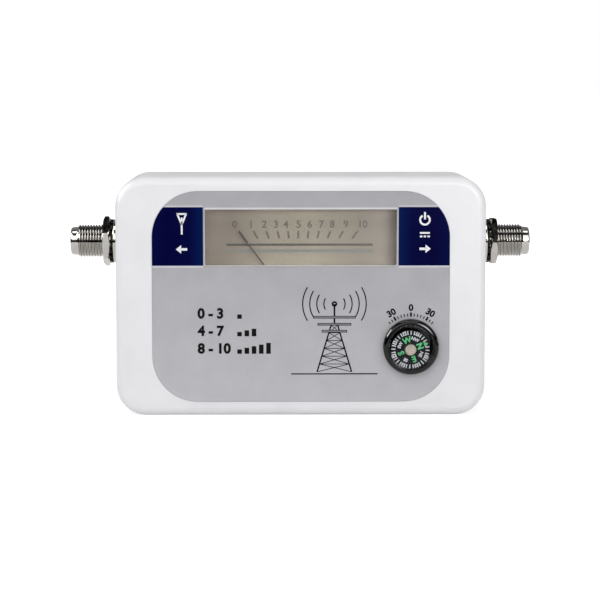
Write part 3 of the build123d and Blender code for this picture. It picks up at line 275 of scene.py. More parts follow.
# Most finishes share one build: a fine grain and a broader cloud mix two tones, the cloud varies the
# roughness, and the grain is a low bump. Grain and cloud are sizes, and bump is a height. Gloss is how
# strongly a finish that isn't metal mirrors, and 0.5 is usual.
finishes = {
    # spark-eroded ABS, satin and cool white; the real grain is 0.1, drawn coarser so that it shows
    "case": {"name": "sparkErodedAbs", "tones": ("E6E6E9", "ECECEF"), "rough": (0.42, 0.5), "grain": 0.3,
             "cloud": 9.0, "bump": 0.003, "ior": 1.54},
    # polished black ABS: a near mirror with the broad soft waves of moulding
    "compass_plastic": {"name": "polishedBlackAbs", "tones": ("020203", "060607"), "rough": (0.06, 0.12),
                        "grain": 1.2, "cloud": 3.0, "bump": 0.001, "ior": 1.54, "gloss": 0.3},
    # satin black polystyrene of the meter's tray, with a fine grain
    "meter_plastic": {"name": "satinPolystyrene", "tones": ("222226", "2E2E32"), "rough": (0.45, 0.55),
                      "grain": 0.3, "cloud": 6.0, "bump": 0.003, "ior": 1.55},
    # baked matt brown paint on aluminium, with a faint orange peel
    "needle": {"name": "bakedBrownPaint", "tones": ("352C27", "3F352F"), "rough": (0.5, 0.62),
               "grain": 0.15, "cloud": 2.0, "bump": 0.002, "ior": 1.5},
    # ground steel, bright, with fine grinding lines
    "steel": {"name": "groundSteel", "tones": ("9A9A9C", "B4B4B6"), "rough": (0.2, 0.32), "grain": 0.5,
              "cloud": 1.5, "bump": 0.001, "metal": 1.0, "stretch": (1, 8, 1)},
    # zinc plated steel: a greyish shine with soft spangles from the plating bath
    "zinc_steel": {"name": "zincPlatedSteel", "tones": ("A2A5A8", "BFC1C4"), "rough": (0.25, 0.42),
                   "grain": 0.35, "cloud": 1.2, "bump": 0.002, "metal": 1.0},
    # enamelled copper wire wound side by side: a reddish shine with fine lines across it
    "coil_copper": {"name": "enamelledCopper", "tones": ("8C3D1C", "C0653A"), "rough": (0.22, 0.35),
                    "grain": 1.1, "cloud": 2.0, "bump": 0.02, "metal": 1.0, "stretch": (1, 9, 1)},
    # cast magnet alloy: dull dark grey with open pores
    "core": {"name": "castMagnetAlloy", "tones": ("3C3C3E", "5A5A5B"), "rough": (0.5, 0.7), "grain": 0.25,
             "cloud": 1.8, "bump": 0.012, "metal": 0.9},
    # nickel plated soft iron, satin
    "yoke": {"name": "platedSoftIron", "tones": ("77777A", "909092"), "rough": (0.35, 0.5), "grain": 0.2,
             "cloud": 2.5, "bump": 0.005, "metal": 1.0},
    # natural nylon: waxy off-white
    "spacer": {"name": "naturalNylon", "tones": ("DAD4C4", "E6E1D3"), "rough": (0.4, 0.5), "grain": 0.4,
               "cloud": 2.0, "bump": 0.002, "ior": 1.53},
    # turned and lacquered brass with turning lines
    "brass": {"name": "turnedBrass", "tones": ("A98446", "C9A560"), "rough": (0.2, 0.34), "grain": 0.5,
              "cloud": 1.5, "bump": 0.002, "metal": 1.0, "stretch": (1, 6, 1)},
    # rolled phosphor bronze strip, redder than brass
    "spring_bronze": {"name": "rolledBronze", "tones": ("9A6A3C", "BC8650"), "rough": (0.25, 0.36),
                      "grain": 0.06, "cloud": 0.8, "bump": 0.001, "metal": 1.0},
    # extruded PVC wire covers, smooth with a slight drag
    "red_wire": {"name": "redPvc", "tones": ("A81614", "BC211B"), "rough": (0.35, 0.45), "grain": 0.3,
                 "cloud": 3.0, "bump": 0.004, "ior": 1.53},
    "black_wire": {"name": "blackPvc", "tones": ("101011", "18181A"), "rough": (0.35, 0.45), "grain": 0.3,
                   "cloud": 3.0, "bump": 0.004, "ior": 1.53},
    # paper laminate in resin: tan with long pale fibres
    "board": {"name": "paperLaminate", "tones": ("A98B52", "C3A96E"), "rough": (0.4, 0.55), "grain": 0.35,
              "cloud": 5.0, "bump": 0.004, "ior": 1.56, "stretch": (0.25, 1, 1)},
    # dipped ceramic discs: thick orange-brown lacquer with an orange peel
    "ceramic": {"name": "dippedCeramic", "tones": ("B0672A", "C67D3A"), "rough": (0.3, 0.42), "grain": 0.6,
                "cloud": 2.0, "bump": 0.02, "ior": 1.55},
    # filled epoxy of the transistors: dead black and fine grained
    "transistor": {"name": "filledEpoxy", "tones": ("121213", "1D1D1E"), "rough": (0.6, 0.75),
                   "grain": 0.15, "cloud": 1.5, "bump": 0.005, "ior": 1.55},
    # sintered ferrite: charcoal with pinholes
    "ferrite": {"name": "sinteredFerrite", "tones": ("2A2A2C", "3E3E40"), "rough": (0.5, 0.7), "grain": 0.2,
                "cloud": 1.0, "bump": 0.01, "ior": 1.8},
    # bright nickel on turned brass: a warm mirror with fine turning lines and a slight haze
    "nickel": {"name": "brightNickel", "tones": ("AEABA7", "C0BDB8"), "rough": (0.08, 0.16), "grain": 0.6,
               "cloud": 2.5, "bump": 0.0006, "metal": 1.0, "stretch": (6, 1, 1)},
    # hardened spring steel of the lock washers, coloured near black as painted shade for the dark gap
    # between nut and flat washer, with a faint brown cast
    "lock_steel": {"name": "steelPaintedAsShade", "tones": ("1A1918", "2C2A28"), "rough": (0.25, 0.4),
                   "grain": 0.2, "cloud": 1.0, "bump": 0.002, "metal": 1.0},
    # natural polyethylene: milky white with soft edges
    "insulator": {"name": "naturalPolyethylene", "tones": ("DEDBCD", "EAE8DC"), "rough": (0.4, 0.5),
                  "grain": 0.3, "cloud": 1.5, "bump": 0.003, "ior": 1.51},
    # washed phosphor bronze of the spring contacts: pale gold
    "contact": {"name": "washedBronze", "tones": ("B08A44", "D0AC62"), "rough": (0.2, 0.3), "grain": 0.5,
                "cloud": 0.8, "bump": 0.001, "metal": 1.0, "stretch": (6, 1, 1)},
    # moulded acetal of the card's cap: beige, soft and slightly waxy
    "cap": {"name": "mouldedAcetal", "tones": ("8C8074", "A3978C"), "rough": (0.35, 0.5), "grain": 0.45,
            "cloud": 1.2, "bump": 0.01, "ior": 1.48},
    # black film of the compass card, matt, with a fine rolling grain
    "card": {"name": "mattBlackFilm", "tones": ("08080A", "131316"), "rough": (0.45, 0.6), "grain": 0.12,
             "cloud": 1.0, "bump": 0.002, "ior": 1.5, "gloss": 0.1},
}


noiseRange = (0.3, 0.7)  # where the values of a noise mostly lie
sumRange = (0.7, 1.3)  # and those of two noises added


def grainAndCloud(tree, place, look):
    # the two noises that every surface is built on
    spread = addNode(tree, "Mapping", {"Vector": place, "Scale": look.get("stretch", (1, 1, 1))}).outputs[0]
    grain = addNode(tree, "TexNoise", {"Vector": spread, "Scale": 1 / (look["grain"] * mm), "Detail": 3.0,
                                       "Roughness": 0.6}).outputs["Fac"]
    cloud = addNode(tree, "TexNoise", {"Vector": place, "Scale": 1 / (look["cloud"] * mm),
                                       "Detail": 2.0}).outputs["Fac"]
    return grain, cloud


def closeMaterial(tree, look, colour, grain, cloud):
    # roughness from the cloud, bump from the grain, and the surface itself
    low, high = look["rough"]
    least, most = noiseRange
    rough = addNode(tree, "MapRange", {"Value": cloud, "From Min": least, "From Max": most, "To Min": low,
                                       "To Max": high}).outputs[0]
    bump = addNode(tree, "Bump", {"Height": grain, "Distance": look["bump"] * mm}).outputs[0]
    skin = addNode(tree, "BsdfPrincipled", {"Base Color": colour, "Roughness": rough, "Normal": bump,
                                            "Metallic": look.get("metal", 0.0), "IOR": look.get("ior", 1.5),
                                            "Specular IOR Level": look.get("gloss", 0.5)})
    addNode(tree, "OutputMaterial", {"Surface": skin.outputs[0]})


def mottle(tree, grain, cloud, tones):
    # the two tones of a finish, mixed by its grain and cloud
    both = addNode(tree, "Math", {0: grain, 1: cloud}, operation="ADD").outputs[0]
    least, most = sumRange
    share = addNode(tree, "MapRange", {"Value": both, "From Min": least, "From Max": most}).outputs[0]
    return setRamp(addNode(tree, "ValToRGB", {"Fac": share}), [(0.0, tones[0]), (1.0, tones[1])])


def makeFinish(look, addPaintedShade=None):
    material, tree, place = startMaterial(look["name"])
    grain, cloud = grainAndCloud(tree, place, look)
    colour = mottle(tree, grain, cloud, look["tones"])
    if addPaintedShade:
        colour = addPaintedShade(tree, place, colour)
    closeMaterial(tree, look, colour, grain, cloud)
    return material


materials = {slot: makeFinish(look) for slot, look in finishes.items() if slot != "nickel"}

# Painted shade in the connectors' threads: their colour is darkened towards the thread roots, more above
# the barrel than under it.
rootShadeLook = {
    "radii": (4.3, 4.62),  # fully dark and clean
    "thread": (56.9, 63.95),  # distances from the middle of the case
    "colour": "12110F",
    "strength": (0.1, 0.8),  # painted shade under the barrel, and stronger painted shade above it
    "turn": 0.15,  # half the height over which it changes
}


def darkenRoots(tree, place, colour):
    # painted shade: darker towards the thread roots, and stronger above the axis than under it
    fromAxis = addNode(tree, "VectorMath", {0: place, 1: (0, 0, -connectorAxis * mm)}).outputs[0]
    across = addNode(tree, "VectorMath", {0: fromAxis, 1: (0, 1, 1)}, operation="MULTIPLY").outputs[0]
    radius = addNode(tree, "VectorMath", {0: across}, operation="LENGTH").outputs["Value"]
    low, high = rootShadeLook["radii"]
    depth = addNode(tree, "MapRange", {"Value": radius, "From Min": low * mm, "From Max": high * mm,
                                       "To Min": 1.0, "To Max": 0.0}).outputs[0]
    axes = addNode(tree, "SeparateXYZ", {0: fromAxis}).outputs
    turn = rootShadeLook["turn"] * mm
    under, over = rootShadeLook["strength"]
    shadeByHeight = addNode(tree, "MapRange", {"Value": axes["Z"], "From Min": -turn, "From Max": turn,
                                      "To Min": under, "To Max": over}).outputs[0]
    along = addNode(tree, "Math", {0: axes["X"]}, operation="ABSOLUTE").outputs[0]
    start, end = rootShadeLook["thread"]
    onThread = addNode(tree, "Math", {0: along, 1: (start + end) / 2 * mm, 2: (end - start) / 2 * mm},
                       operation="COMPARE").outputs[0]
    share = addNode(tree, "Math", {0: depth, 1: onThread}, operation="MULTIPLY").outputs[0]
    share = addNode(tree, "Math", {0: share, 1: shadeByHeight}, operation="MULTIPLY").outputs[0]
    return addNode(tree, "Mix", {0: share, 6: colour, 7: toLinear(rootShadeLook["colour"])},
                   data_type="RGBA").outputs[2]


materials["nickel"] = makeFinish(finishes["nickel"], darkenRoots)

# Clear acrylic, cast for the lens and moulded for the dome: it bends light a little, its surface has
# faint waves, and its shadow is pale. The gleam tints what its surface mirrors.
acrylics = {
    "lens": {"name": "castAcrylic", "tint": "F4F5F3", "rough": (0.01, 0.04), "wave": 6.0, "bump": 0.001,
             "gleam": "999999", "ior": 1.49},
    "dome": {"name": "mouldedAcrylic", "tint": "F6F8F8", "rough": (0.01, 0.03), "wave": 2.5, "bump": 0.001,
             "gleam": "141414", "ior": 1.49},
}


def makeAcrylic(look):
    material, tree, place = startMaterial(look["name"])
    wave = addNode(tree, "TexNoise", {"Vector": place, "Scale": 1 / (look["wave"] * mm)}).outputs["Fac"]
    low, high = look["rough"]
    rough = addNode(tree, "MapRange", {"Value": wave, "To Min": low, "To Max": high}).outputs[0]
    bump = addNode(tree, "Bump", {"Height": wave, "Distance": look["bump"] * mm}).outputs[0]
    clear = addNode(tree, "BsdfPrincipled", {"Base Color": toLinear(look["tint"]), "Roughness": rough,
                                             "Normal": bump, "Transmission Weight": 1.0,
                                             "IOR": look["ior"],
                                             "Specular Tint": toLinear(look["gleam"])})
    through = addNode(tree, "BsdfTransparent", {"Color": toLinear(look["tint"])})
    shadow = addNode(tree, "LightPath").outputs["Is Shadow Ray"]
    both = addNode(tree, "MixShader", {0: shadow, 1: clear.outputs[0], 2: through.outputs[0]})
    addNode(tree, "OutputMaterial", {"Surface": both.outputs[0]})
    return material


materials.update({slot: makeAcrylic(look) for slot, look in acrylics.items()})

# Silver-grey polyester sheet with a screen-printed blue panel each side of the window and thin pale
# lines round them. Places are heights above the base and distances from the middle.
labelLook = {
    "name": "printedPolyester",
    "greys": [(4.1, "C7C7CB"), (12.0, "C4C3C8"), (27.0, "BEBDC2"), (41.0, "B7B6BB"), (60.0, "B3B2B7"),
              (63.9, "B3B2B7")],
    "blues": [(27.4, "001C52"), (29.5, "001048"), (31.5, "00043C"), (38.0, "000038"), (42.1, "000640")],
    "panel": (42.9, 59.47, 27.6),  # lowest, highest, and inner edge
    # lines: (which way it is placed, its place, its width, where it runs, its colour)
    "lines": [("height", 42.62, 0.56, "all", "B5B2B1"), ("height", 42.62, 0.56, "outside", "D3D2D9"),
              ("height", 59.07, 0.56, "inside", "DCDBDF"), ("height", 59.72, 0.5, "outside", "CDCBD3"),
              ("side", 27.4, 0.4, "inBand", "B4B6BC")],
    "rough": (0.34, 0.42), "grain": 0.25, "cloud": 7.0, "bump": 0.0008, "ior": 1.58, "gloss": 0.015,
    "speckle": ("F4F4F4", "FFFFFF"),
}


def makeLabel(look):
    material, tree, place = startMaterial(look["name"])
    grain, cloud = grainAndCloud(tree, place, look)
    axes = addNode(tree, "SeparateXYZ", {0: place}).outputs
    height = axes["Z"]
    side = addNode(tree, "Math", {0: axes["X"]}, operation="ABSOLUTE").outputs[0]
    low, high, inner = look["panel"]
    outside = addNode(tree, "Math", {0: side, 1: inner * mm}, operation="GREATER_THAN").outputs[0]
    inside = addNode(tree, "Math", {0: side, 1: inner * mm}, operation="LESS_THAN").outputs[0]
    inBand = addNode(tree, "Math", {0: height, 1: (low + high) / 2 * mm, 2: (high - low) / 2 * mm},
                     operation="COMPARE").outputs[0]
    panel = addNode(tree, "Math", {0: inBand, 1: outside}, operation="MULTIPLY").outputs[0]
    colour = addNode(tree, "Mix", {0: panel, 6: spreadRamp(tree, height, look["greys"]),
                                   7: spreadRamp(tree, side, look["blues"])}, data_type="RGBA").outputs[2]
    places = {"height": height, "side": side}
    runs = {"all": 1.0, "outside": outside, "inside": inside, "inBand": inBand}
    for way, middle, width, where, hexColour in look["lines"]:
        line = addNode(tree, "Math", {0: places[way], 1: middle * mm, 2: width / 2 * mm},
                       operation="COMPARE").outputs[0]
        mask = addNode(tree, "Math", {0: line, 1: runs[where]}, operation="MULTIPLY").outputs[0]
        colour = addNode(tree, "Mix", {0: mask, 6: colour, 7: toLinear(hexColour)},
                         data_type="RGBA").outputs[2]
    speckle = mottle(tree, grain, cloud, look["speckle"])
    colour = addNode(tree, "Mix", {0: 1.0, 6: colour, 7: speckle}, data_type="RGBA",
                     blend_type="MULTIPLY").outputs[2]
    closeMaterial(tree, look, colour, grain, cloud)
    return material


materials["label"] = makeLabel(labelLook)

# Warm grey lacquer on the aluminium scale plate. Its tones across the plate are painted light and shade,
# and the levels over height are painted light: they darken its middle more than its top and bottom, against
# the shade that the window's edges cast.
dialLook = {
    "name": "dialLacquerPaintedLight",
    "tones": [(-27.5, "A29285"), (-21.0, "98897C"), (-8.0, "AFA292"), (4.0, "B3A797"), (17.0, "A29588"),
              (27.5, "B7A8A1")],
    "levels": [(42.6, "EAEAEA"), (44.0, "D5D5D5"), (46.0, "C4C4C4"), (49.5, "C0C0C0"), (54.3, "BFBFBF"),
               (55.5, "C8C8C8"), (56.6, "DBDBDB"), (57.6, "F7F7F7")],
    "rough": (0.4, 0.5), "grain": 0.35, "cloud": 6.0, "bump": 0.001, "ior": 1.5,
    "speckle": ("F2F1EE", "FFFFFF"),
}


def makeDial(look):
    material, tree, place = startMaterial(look["name"])
    grain, cloud = grainAndCloud(tree, place, look)
    axes = addNode(tree, "SeparateXYZ", {0: place}).outputs
    # painted light and shade: the tones across the plate and the levels over height
    colour = spreadRamp(tree, axes["X"], look["tones"])
    for layer in (spreadRamp(tree, axes["Z"], look["levels"]), mottle(tree, grain, cloud, look["speckle"])):
        colour = addNode(tree, "Mix", {0: 1.0, 6: colour, 7: layer}, data_type="RGBA",
                         blend_type="MULTIPLY").outputs[2]
    closeMaterial(tree, look, colour, grain, cloud)
    return material


materials["dial"] = makeDial(dialLook)

# Parts whose body carries bands: lacquered resistors, glass diodes and the capacitor's sleeve. Bands
# stand across the x axis, and each is (distance from the node's middle, width, colour).
banded = {
    # beige lacquer with colour rings
    "resistor": {"name": "resistorLacquer", "tones": ("C8AE82", "D6BE94"), "rough": (0.28, 0.38),
                 "grain": 0.4, "cloud": 2.0, "bump": 0.004, "ior": 1.52, "node": "resistors",
                 "bands": [(-1.6, 0.5, "5A2E16"), (-0.6, 0.5, "1A1A1A"), (0.4, 0.5, "B4531A"),
                           (1.6, 0.4, "A8862C")]},
    # amber glass with a black cathode ring
    "diode": {"name": "amberGlass", "tones": ("A8481C", "C4602A"), "rough": (0.05, 0.12), "grain": 0.5,
              "cloud": 1.5, "bump": 0.002, "ior": 1.52, "node": "detector_diodes",
              "bands": [(-1.0, 0.7, "101010")]},
    # shrunk black sleeve with a pale stripe
    "electrolytic": {"name": "shrunkSleeve", "tones": ("14141E", "1C1C28"), "rough": (0.25, 0.35),
                     "grain": 0.6, "cloud": 2.5, "bump": 0.004, "ior": 1.53,
                     "node": "electrolytic_capacitor", "bands": [(-2.2, 0.9, "9A9AA6")]},
}


def makeBanded(look):
    material, tree, place = startMaterial(look["name"])
    grain, cloud = grainAndCloud(tree, place, look)
    colour = mottle(tree, grain, cloud, look["tones"])
    along = addNode(tree, "SeparateXYZ", {0: place}).outputs["X"]
    low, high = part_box(look["node"])
    middle = (low + high)[0] / 2
    for distance, width, hexColour in look["bands"]:
        mask = addNode(tree, "Math", {0: along, 1: middle + distance * mm, 2: width / 2 * mm},
                       operation="COMPARE").outputs[0]
        colour = addNode(tree, "Mix", {0: mask, 6: colour, 7: toLinear(hexColour)},
                         data_type="RGBA").outputs[2]
    closeMaterial(tree, look, colour, grain, cloud)
    return material


materials.update({slot: makeBanded(look) for slot, look in banded.items()})

for part in frame["record"]["subparts"]:
    for place in nodes[part["node"]].material_slots:
        place.material = materials[part["material_slot"]]
print("finishes made and given to the nodes:", len(materials))


def frontPlace(x, y, z):
    # local x to the right, y up and z towards the viewer, in millimetres, set at a point
    return (Matrix.Translation(Vector((x, y, z)) * mm) @ Matrix.Rotation(pi / 2, 4, "X")
            @ Matrix.Scale(mm, 4))


def sidePlace(x, y, z, side):
    # local z runs outward to the left (-1) or to the right (1)
    return (Matrix.Translation(Vector((x, y, z)) * mm) @ Matrix.Rotation(side * pi / 2, 4, "Y")
            @ Matrix.Scale(mm, 4))


nearby = 1e-3  # points nearer than this to a ring or a level are on it


def ringEdges(bm, radius, height):
    # the edges round the z axis at this radius and height
    def isThere(v):
        return abs(hypot(v.co.x, v.co.y) - radius) < nearby and abs(v.co.z - height) < nearby
    return [e for e in bm.edges if isThere(e.verts[0]) and isThere(e.verts[1])]


def roundRing(bm, radius, height, width, segments):
    bmesh.ops.bevel(bm, geom=ringEdges(bm, radius, height), offset=width, affect="EDGES", segments=segments,
                    profile=0.5, material=-1)


def walkRings(bm, rim, stations):
    # extrudes a closed rim through rings of (radius, height) and returns the last one
    for radius, height in stations:
        fresh = bmesh.ops.extrude_edge_only(bm, edges=rim)["geom"]
        corners = {v for v in fresh if isinstance(v, bmesh.types.BMVert)}
        for v in corners:
            v.co = Vector((v.co.x, v.co.y, 0)).normalized() * radius + Vector((0, 0, height))
        rim = [e for e in fresh if isinstance(e, bmesh.types.BMEdge) and set(e.verts) <= corners]
    return rim


# Coaxial connector: flange inside the wall, shank, free thread and rounded tip, with a bore for the
# insulator. Heights are measured outward from the side wall.
connectorLook = {
    "wall": 52.5,
    "threadRadius": 4.76, "threadDepth": 0.46, "pitch": 0.79375,  # 3/8 inch, 32 threads to the inch
    "crest": 0.12, "root": 0.17,
    "thread": (4.43, 11.4),
    "steps": 72,
    "weld": 0.002,
    "smoothAngle": 32,
    # rings of (radius, height) from each end of the thread to the bore
    "inward": [(4.5, 4.43), (4.5, -2.2), (6.2, -2.2), (6.2, -3.8), (3.0, -3.8)],
    "outward": [(4.42, 11.45), (4.1, 11.85), (3.97, 13.8), (3.0, 13.8)],
    # radius and height of an edge, width and steps of its rounding
    "roundings": [(3.97, 13.8, 0.62, 5), (3.0, 13.8, 0.12, 2), (4.1, 11.85, 0.1, 2), (6.2, -3.8, 0.2, 2),
                  (6.2, -2.2, 0.2, 2)],
}


def makeConnector(look, name, side):
    bm = bmesh.new()
    start, end = look["thread"]
    pitch, low = look["pitch"], look["threadRadius"] - look["threadDepth"]
    flank = (pitch - look["crest"] - look["root"]) / 2
    tooth = [(low, 0.0), (low, look["root"]), (look["threadRadius"], look["root"] + flank),
             (look["threadRadius"], look["root"] + flank + look["crest"])]
    turns = ceil((end - start) / pitch) + 2  # one more at each end, where the thread is cut off
    outline = [(radius, start + (i - 1) * pitch + height) for i in range(turns) for radius, height in tooth]
    points = [bm.verts.new((radius, 0, height)) for radius, height in outline]
    edges = [bm.edges.new(pair) for pair in zip(points, points[1:])]
    # one turn lifts the outline by one pitch, so its teeth join into one helix
    bmesh.ops.spin(bm, geom=points + edges, axis=(0, 0, 1), angle=2 * pi, steps=look["steps"],
                   dvec=(0, 0, pitch / look["steps"]))
    bmesh.ops.remove_doubles(bm, verts=bm.verts, dist=look["weld"])
    for level, outward in ((start, -1), (end, 1)):
        bmesh.ops.bisect_plane(bm, geom=bm.verts[:] + bm.edges[:] + bm.faces[:], dist=1e-5,
                               plane_co=(0, 0, level), plane_no=(0, 0, outward), clear_outer=True)
    rims = [[e for e in bm.edges if e.is_boundary and all(abs(v.co.z - level) < nearby for v in e.verts)]
            for level in (start, end)]
    ends = walkRings(bm, rims[0], look["inward"]) + walkRings(bm, rims[1], look["outward"])
    bmesh.ops.bridge_loops(bm, edges=ends)
    for rounding in look["roundings"]:
        roundRing(bm, *rounding)
    bmesh.ops.transform(bm, verts=bm.verts, matrix=sidePlace(side * look["wall"], 0, connectorAxis, side))
    piece = addPiece(bm, name + "_threaded_connector", materials["nickel"],
                     smoothAngle=look["smoothAngle"])
    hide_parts(name + "_connector_body")


makeConnector(connectorLook, "left", -1)
makeConnector(connectorLook, "right", 1)
print("connectors threaded")

# Compass rim: a glossy ring with a rounded outer shoulder, a step down to the dome and a finger notch.
# Outline and roundings are laid out as the connector's are.
rimLook = {
    "foot": -17.1,  # where its heights start
    "outline": [(6.3, 0.0), (7.9, 0.0), (7.9, 2.0), (6.62, 2.0), (6.46, 1.1), (6.3, 1.1)],
    "roundings": [(7.9, 2.0, 1.2, 10), (6.62, 2.0, 0.07, 3), (6.3, 1.1, 0.07, 2)],
    "steps": 128,
    "smoothAngle": 40,
    "notch": (12.0, 5.0, 0.28),  # degrees above three o'clock, half its width in degrees, depth
    "notched": (7.3, 7.9),  # radii that the notch reaches between
}


def makeRim(look):
    bm = bmesh.new()
    corners = [bm.verts.new((radius, 0, height)) for radius, height in look["outline"]]
    edges = [bm.edges.new(pair) for pair in zip(corners, corners[1:] + corners[:1])]
    bmesh.ops.spin(bm, geom=corners + edges, axis=(0, 0, 1), angle=2 * pi, steps=look["steps"],
                   use_merge=True)
    for rounding in look["roundings"]:
        roundRing(bm, *rounding)
    middle, half, depth = look["notch"]
    inner, outer = look["notched"]
    for v in bm.verts:
        away = abs(degrees(atan2(v.co.y, v.co.x)) - middle) / half
        if away < 1 and hypot(v.co.x, v.co.y) > inner:
            v.co.xy *= 1 - depth / outer * (1 + cos(pi * away)) / 2
    x, z = compassMiddle
    bmesh.ops.transform(bm, verts=bm.verts, matrix=frontPlace(x, look["foot"], z))
    rim = addPiece(bm, "compass_rim", materials["compass_plastic"],
                   smoothAngle=look["smoothAngle"])
    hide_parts("compass_bezel")


makeRim(rimLook)
print("compass rim made")

# Screen-printing ink: a thin film with a slightly uneven surface, drawn as a raised solid.
inkLook = {
    "thickness": 0.03,
    "sunk": 0.01,  # how deep its back lies in the sheet
    "finishes": {
        "blackInk": {"tones": ("0C0C0D", "151516"), "gloss": 0.04},
        "whiteInk": {"tones": ("E6E6EA", "F2F2F4")},
        "greyInk": {"tones": ("6F6F73", "7B7B7F")},
        "scaleInk": {"tones": ("4A433C", "544D44")},
        "darkScaleInk": {"tones": ("37332D", "413C36")},
        # the pale grey line under the scale's dark bar, which is painted shadow
        "shadowScaleInk": {"tones": ("666460", "6F6D69")},
        "cardWhiteInk": {"tones": ("B4B3BA", "C4C3CA")},
        "cardGreenInk": {"tones": ("32A059", "48B26E")},
    },
    "shared": {"rough": (0.4, 0.55), "grain": 0.2, "cloud": 3.0, "bump": 0.001, "ior": 1.5},
    "arcSteps": 24, "letterSteps": 5,
}
inkBack, inkFront = -inkLook["sunk"], inkLook["thickness"] - inkLook["sunk"]
inkMiddle = (inkBack + inkFront) / 2
inks = {name: makeFinish({"name": name, **inkLook["shared"], **look})
        for name, look in inkLook["finishes"].items()}


def inkBar(bm, start, end, width):
    # a straight stroke, drawn flat: x to the right and y up
    run = Vector(end) - Vector(start)
    middle = (Vector(start) + Vector(end)) / 2
    turn = Matrix.Rotation(atan2(run.y, run.x), 4, "Z")
    size = Matrix.Diagonal((run.length, width, inkLook["thickness"], 1))
    lift = Matrix.Translation((middle.x, middle.y, inkMiddle))
    bmesh.ops.create_cube(bm, size=1.0, matrix=lift @ turn @ size)


def inkArc(bm, centre, radius, width, first, last):
    # part of a ring between two angles in degrees, counted from the right and upward
    inner, outer = radius - width / 2, radius + width / 2
    section = ((inner, inkBack), (outer, inkBack), (outer, inkFront), (inner, inkFront))
    corners = [bm.verts.new((across, 0, height)) for across, height in section]
    bmesh.ops.rotate(bm, verts=corners, matrix=Matrix.Rotation(radians(first), 3, "Z"))
    bmesh.ops.translate(bm, verts=corners, vec=(*centre, 0))
    edges = [bm.edges.new(pair) for pair in zip(corners, corners[1:] + corners[:1])]
    full = abs(last - first) >= 360
    spun = bmesh.ops.spin(bm, geom=corners + edges, cent=(*centre, 0), axis=(0, 0, 1),
                          angle=radians(last - first), steps=inkLook["arcSteps"], use_merge=full)
    if not full:
        tail = [e for e in spun["geom_last"] if isinstance(e, bmesh.types.BMEdge)]
        bmesh.ops.holes_fill(bm, edges=edges + tail, sides=4)


def inkShape(bm, corners):
    # a flat shape with straight sides
    face = bm.faces.new([bm.verts.new((x, y, inkBack)) for x, y in corners])
    fresh = bmesh.ops.extrude_face_region(bm, geom=[face])["geom"]
    bmesh.ops.translate(bm, verts=[v for v in fresh if isinstance(v, bmesh.types.BMVert)],
                        vec=(0, 0, inkLook["thickness"]))


def inkText(bm, text, height, centre, weight, turn=0.0, fromLeft=False):
    # numbers or letters of this height, made from a text object that is one unit thick
    curve = bpy.data.curves.new("inkLetters", "FONT")
    curve.body, curve.size, curve.extrude, curve.offset = text, 1.0, 0.5, weight
    curve.resolution_u = inkLook["letterSteps"]
    letters = bpy.data.objects.new("inkLetters", curve)
    bpy.context.scene.collection.objects.link(letters)
    mesh = bpy.data.meshes.new_from_object(letters)
    across, up = [v.co.x for v in mesh.vertices], [v.co.y for v in mesh.vertices]
    scale = height / (max(up) - min(up))
    anchor = min(across) if fromLeft else (min(across) + max(across)) / 2
    middle = Vector((anchor, (min(up) + max(up)) / 2, 0))
    mesh.transform(Matrix.Translation((*centre, inkMiddle))
                   @ Matrix.Rotation(radians(turn), 4, "Z")
                   @ Matrix.Diagonal((scale, scale, inkLook["thickness"], 1)) @ Matrix.Translation(-middle))
    bm.from_mesh(mesh)
    bpy.data.meshes.remove(mesh)
    bpy.data.objects.remove(letters)
    bpy.data.curves.remove(curve)


def layInk(bm, name, ink, place, body="case"):
    bmesh.ops.transform(bm, verts=bm.verts, matrix=frontPlace(*place))
    addPiece(bm, name, inks[ink], body)


def clockPlace(radius, angle):
    # a place round the middle; angles run clockwise from the top
    return radius * sin(radians(angle)), radius * cos(radians(angle))


# Scale: numbers 0 to 10 on one line, ticks that fan out from the needle's pivot, and two bars: a dark one
# and, under it, a pale grey line that is painted shadow.
scaleLook = {
    "plateFront": -10.8,
    "pivot": (-0.7, 29.7),
    "division": 7.35,  # degrees from one number to the next
    "upright": 5,  # the number straight above the pivot
    "numberHeight": 54.3, "numberSize": 2.1, "weight": 0.022,
    # how far each number from 0 to 10 is printed to the right of its tick's line
    "numberShifts": (0.3, 0.45, 0.3, 0.1, -0.35, 0.1, 0.1, 0.15, -0.3, -0.3, 0.15),
    "tick": (20.54, 22.65, 0.55),  # from and to this height above the pivot, and width
    "darkBar": (48.46, -21.1, 20.5, 0.66),  # height, left and right end, width
    # a pale grey line under the dark bar, drawn as painted shadow
    "paintedShadowBar": (46.72, -21.1, 20.5, 0.9),
}


def printScale(look):
    pivotX, pivotZ = look["pivot"]
    marks = bmesh.new()
    low, high, width = look["tick"]
    rise = look["numberHeight"] - pivotZ
    for i, shift in enumerate(look["numberShifts"]):
        slant = tan(radians((i - look["upright"]) * look["division"]))
        middle = pivotX + rise * slant + shift
        inkText(marks, str(i), look["numberSize"], (middle, look["numberHeight"]), look["weight"])
        inkBar(marks, (pivotX + low * slant, pivotZ + low), (pivotX + high * slant, pivotZ + high), width)
    layInk(marks, "scale_numbers", "scaleInk", (0, look["plateFront"], 0))
    for name, ink in (("darkBar", "darkScaleInk"), ("paintedShadowBar", "shadowScaleInk")):
        height, left, right, thick = look[name]
        bar = bmesh.new()
        inkBar(bar, (left, height), (right, height), thick)
        layInk(bar, "scale_" + name, ink, (0, look["plateFront"], 0))


printScale(scaleLook)
print("scale printed")

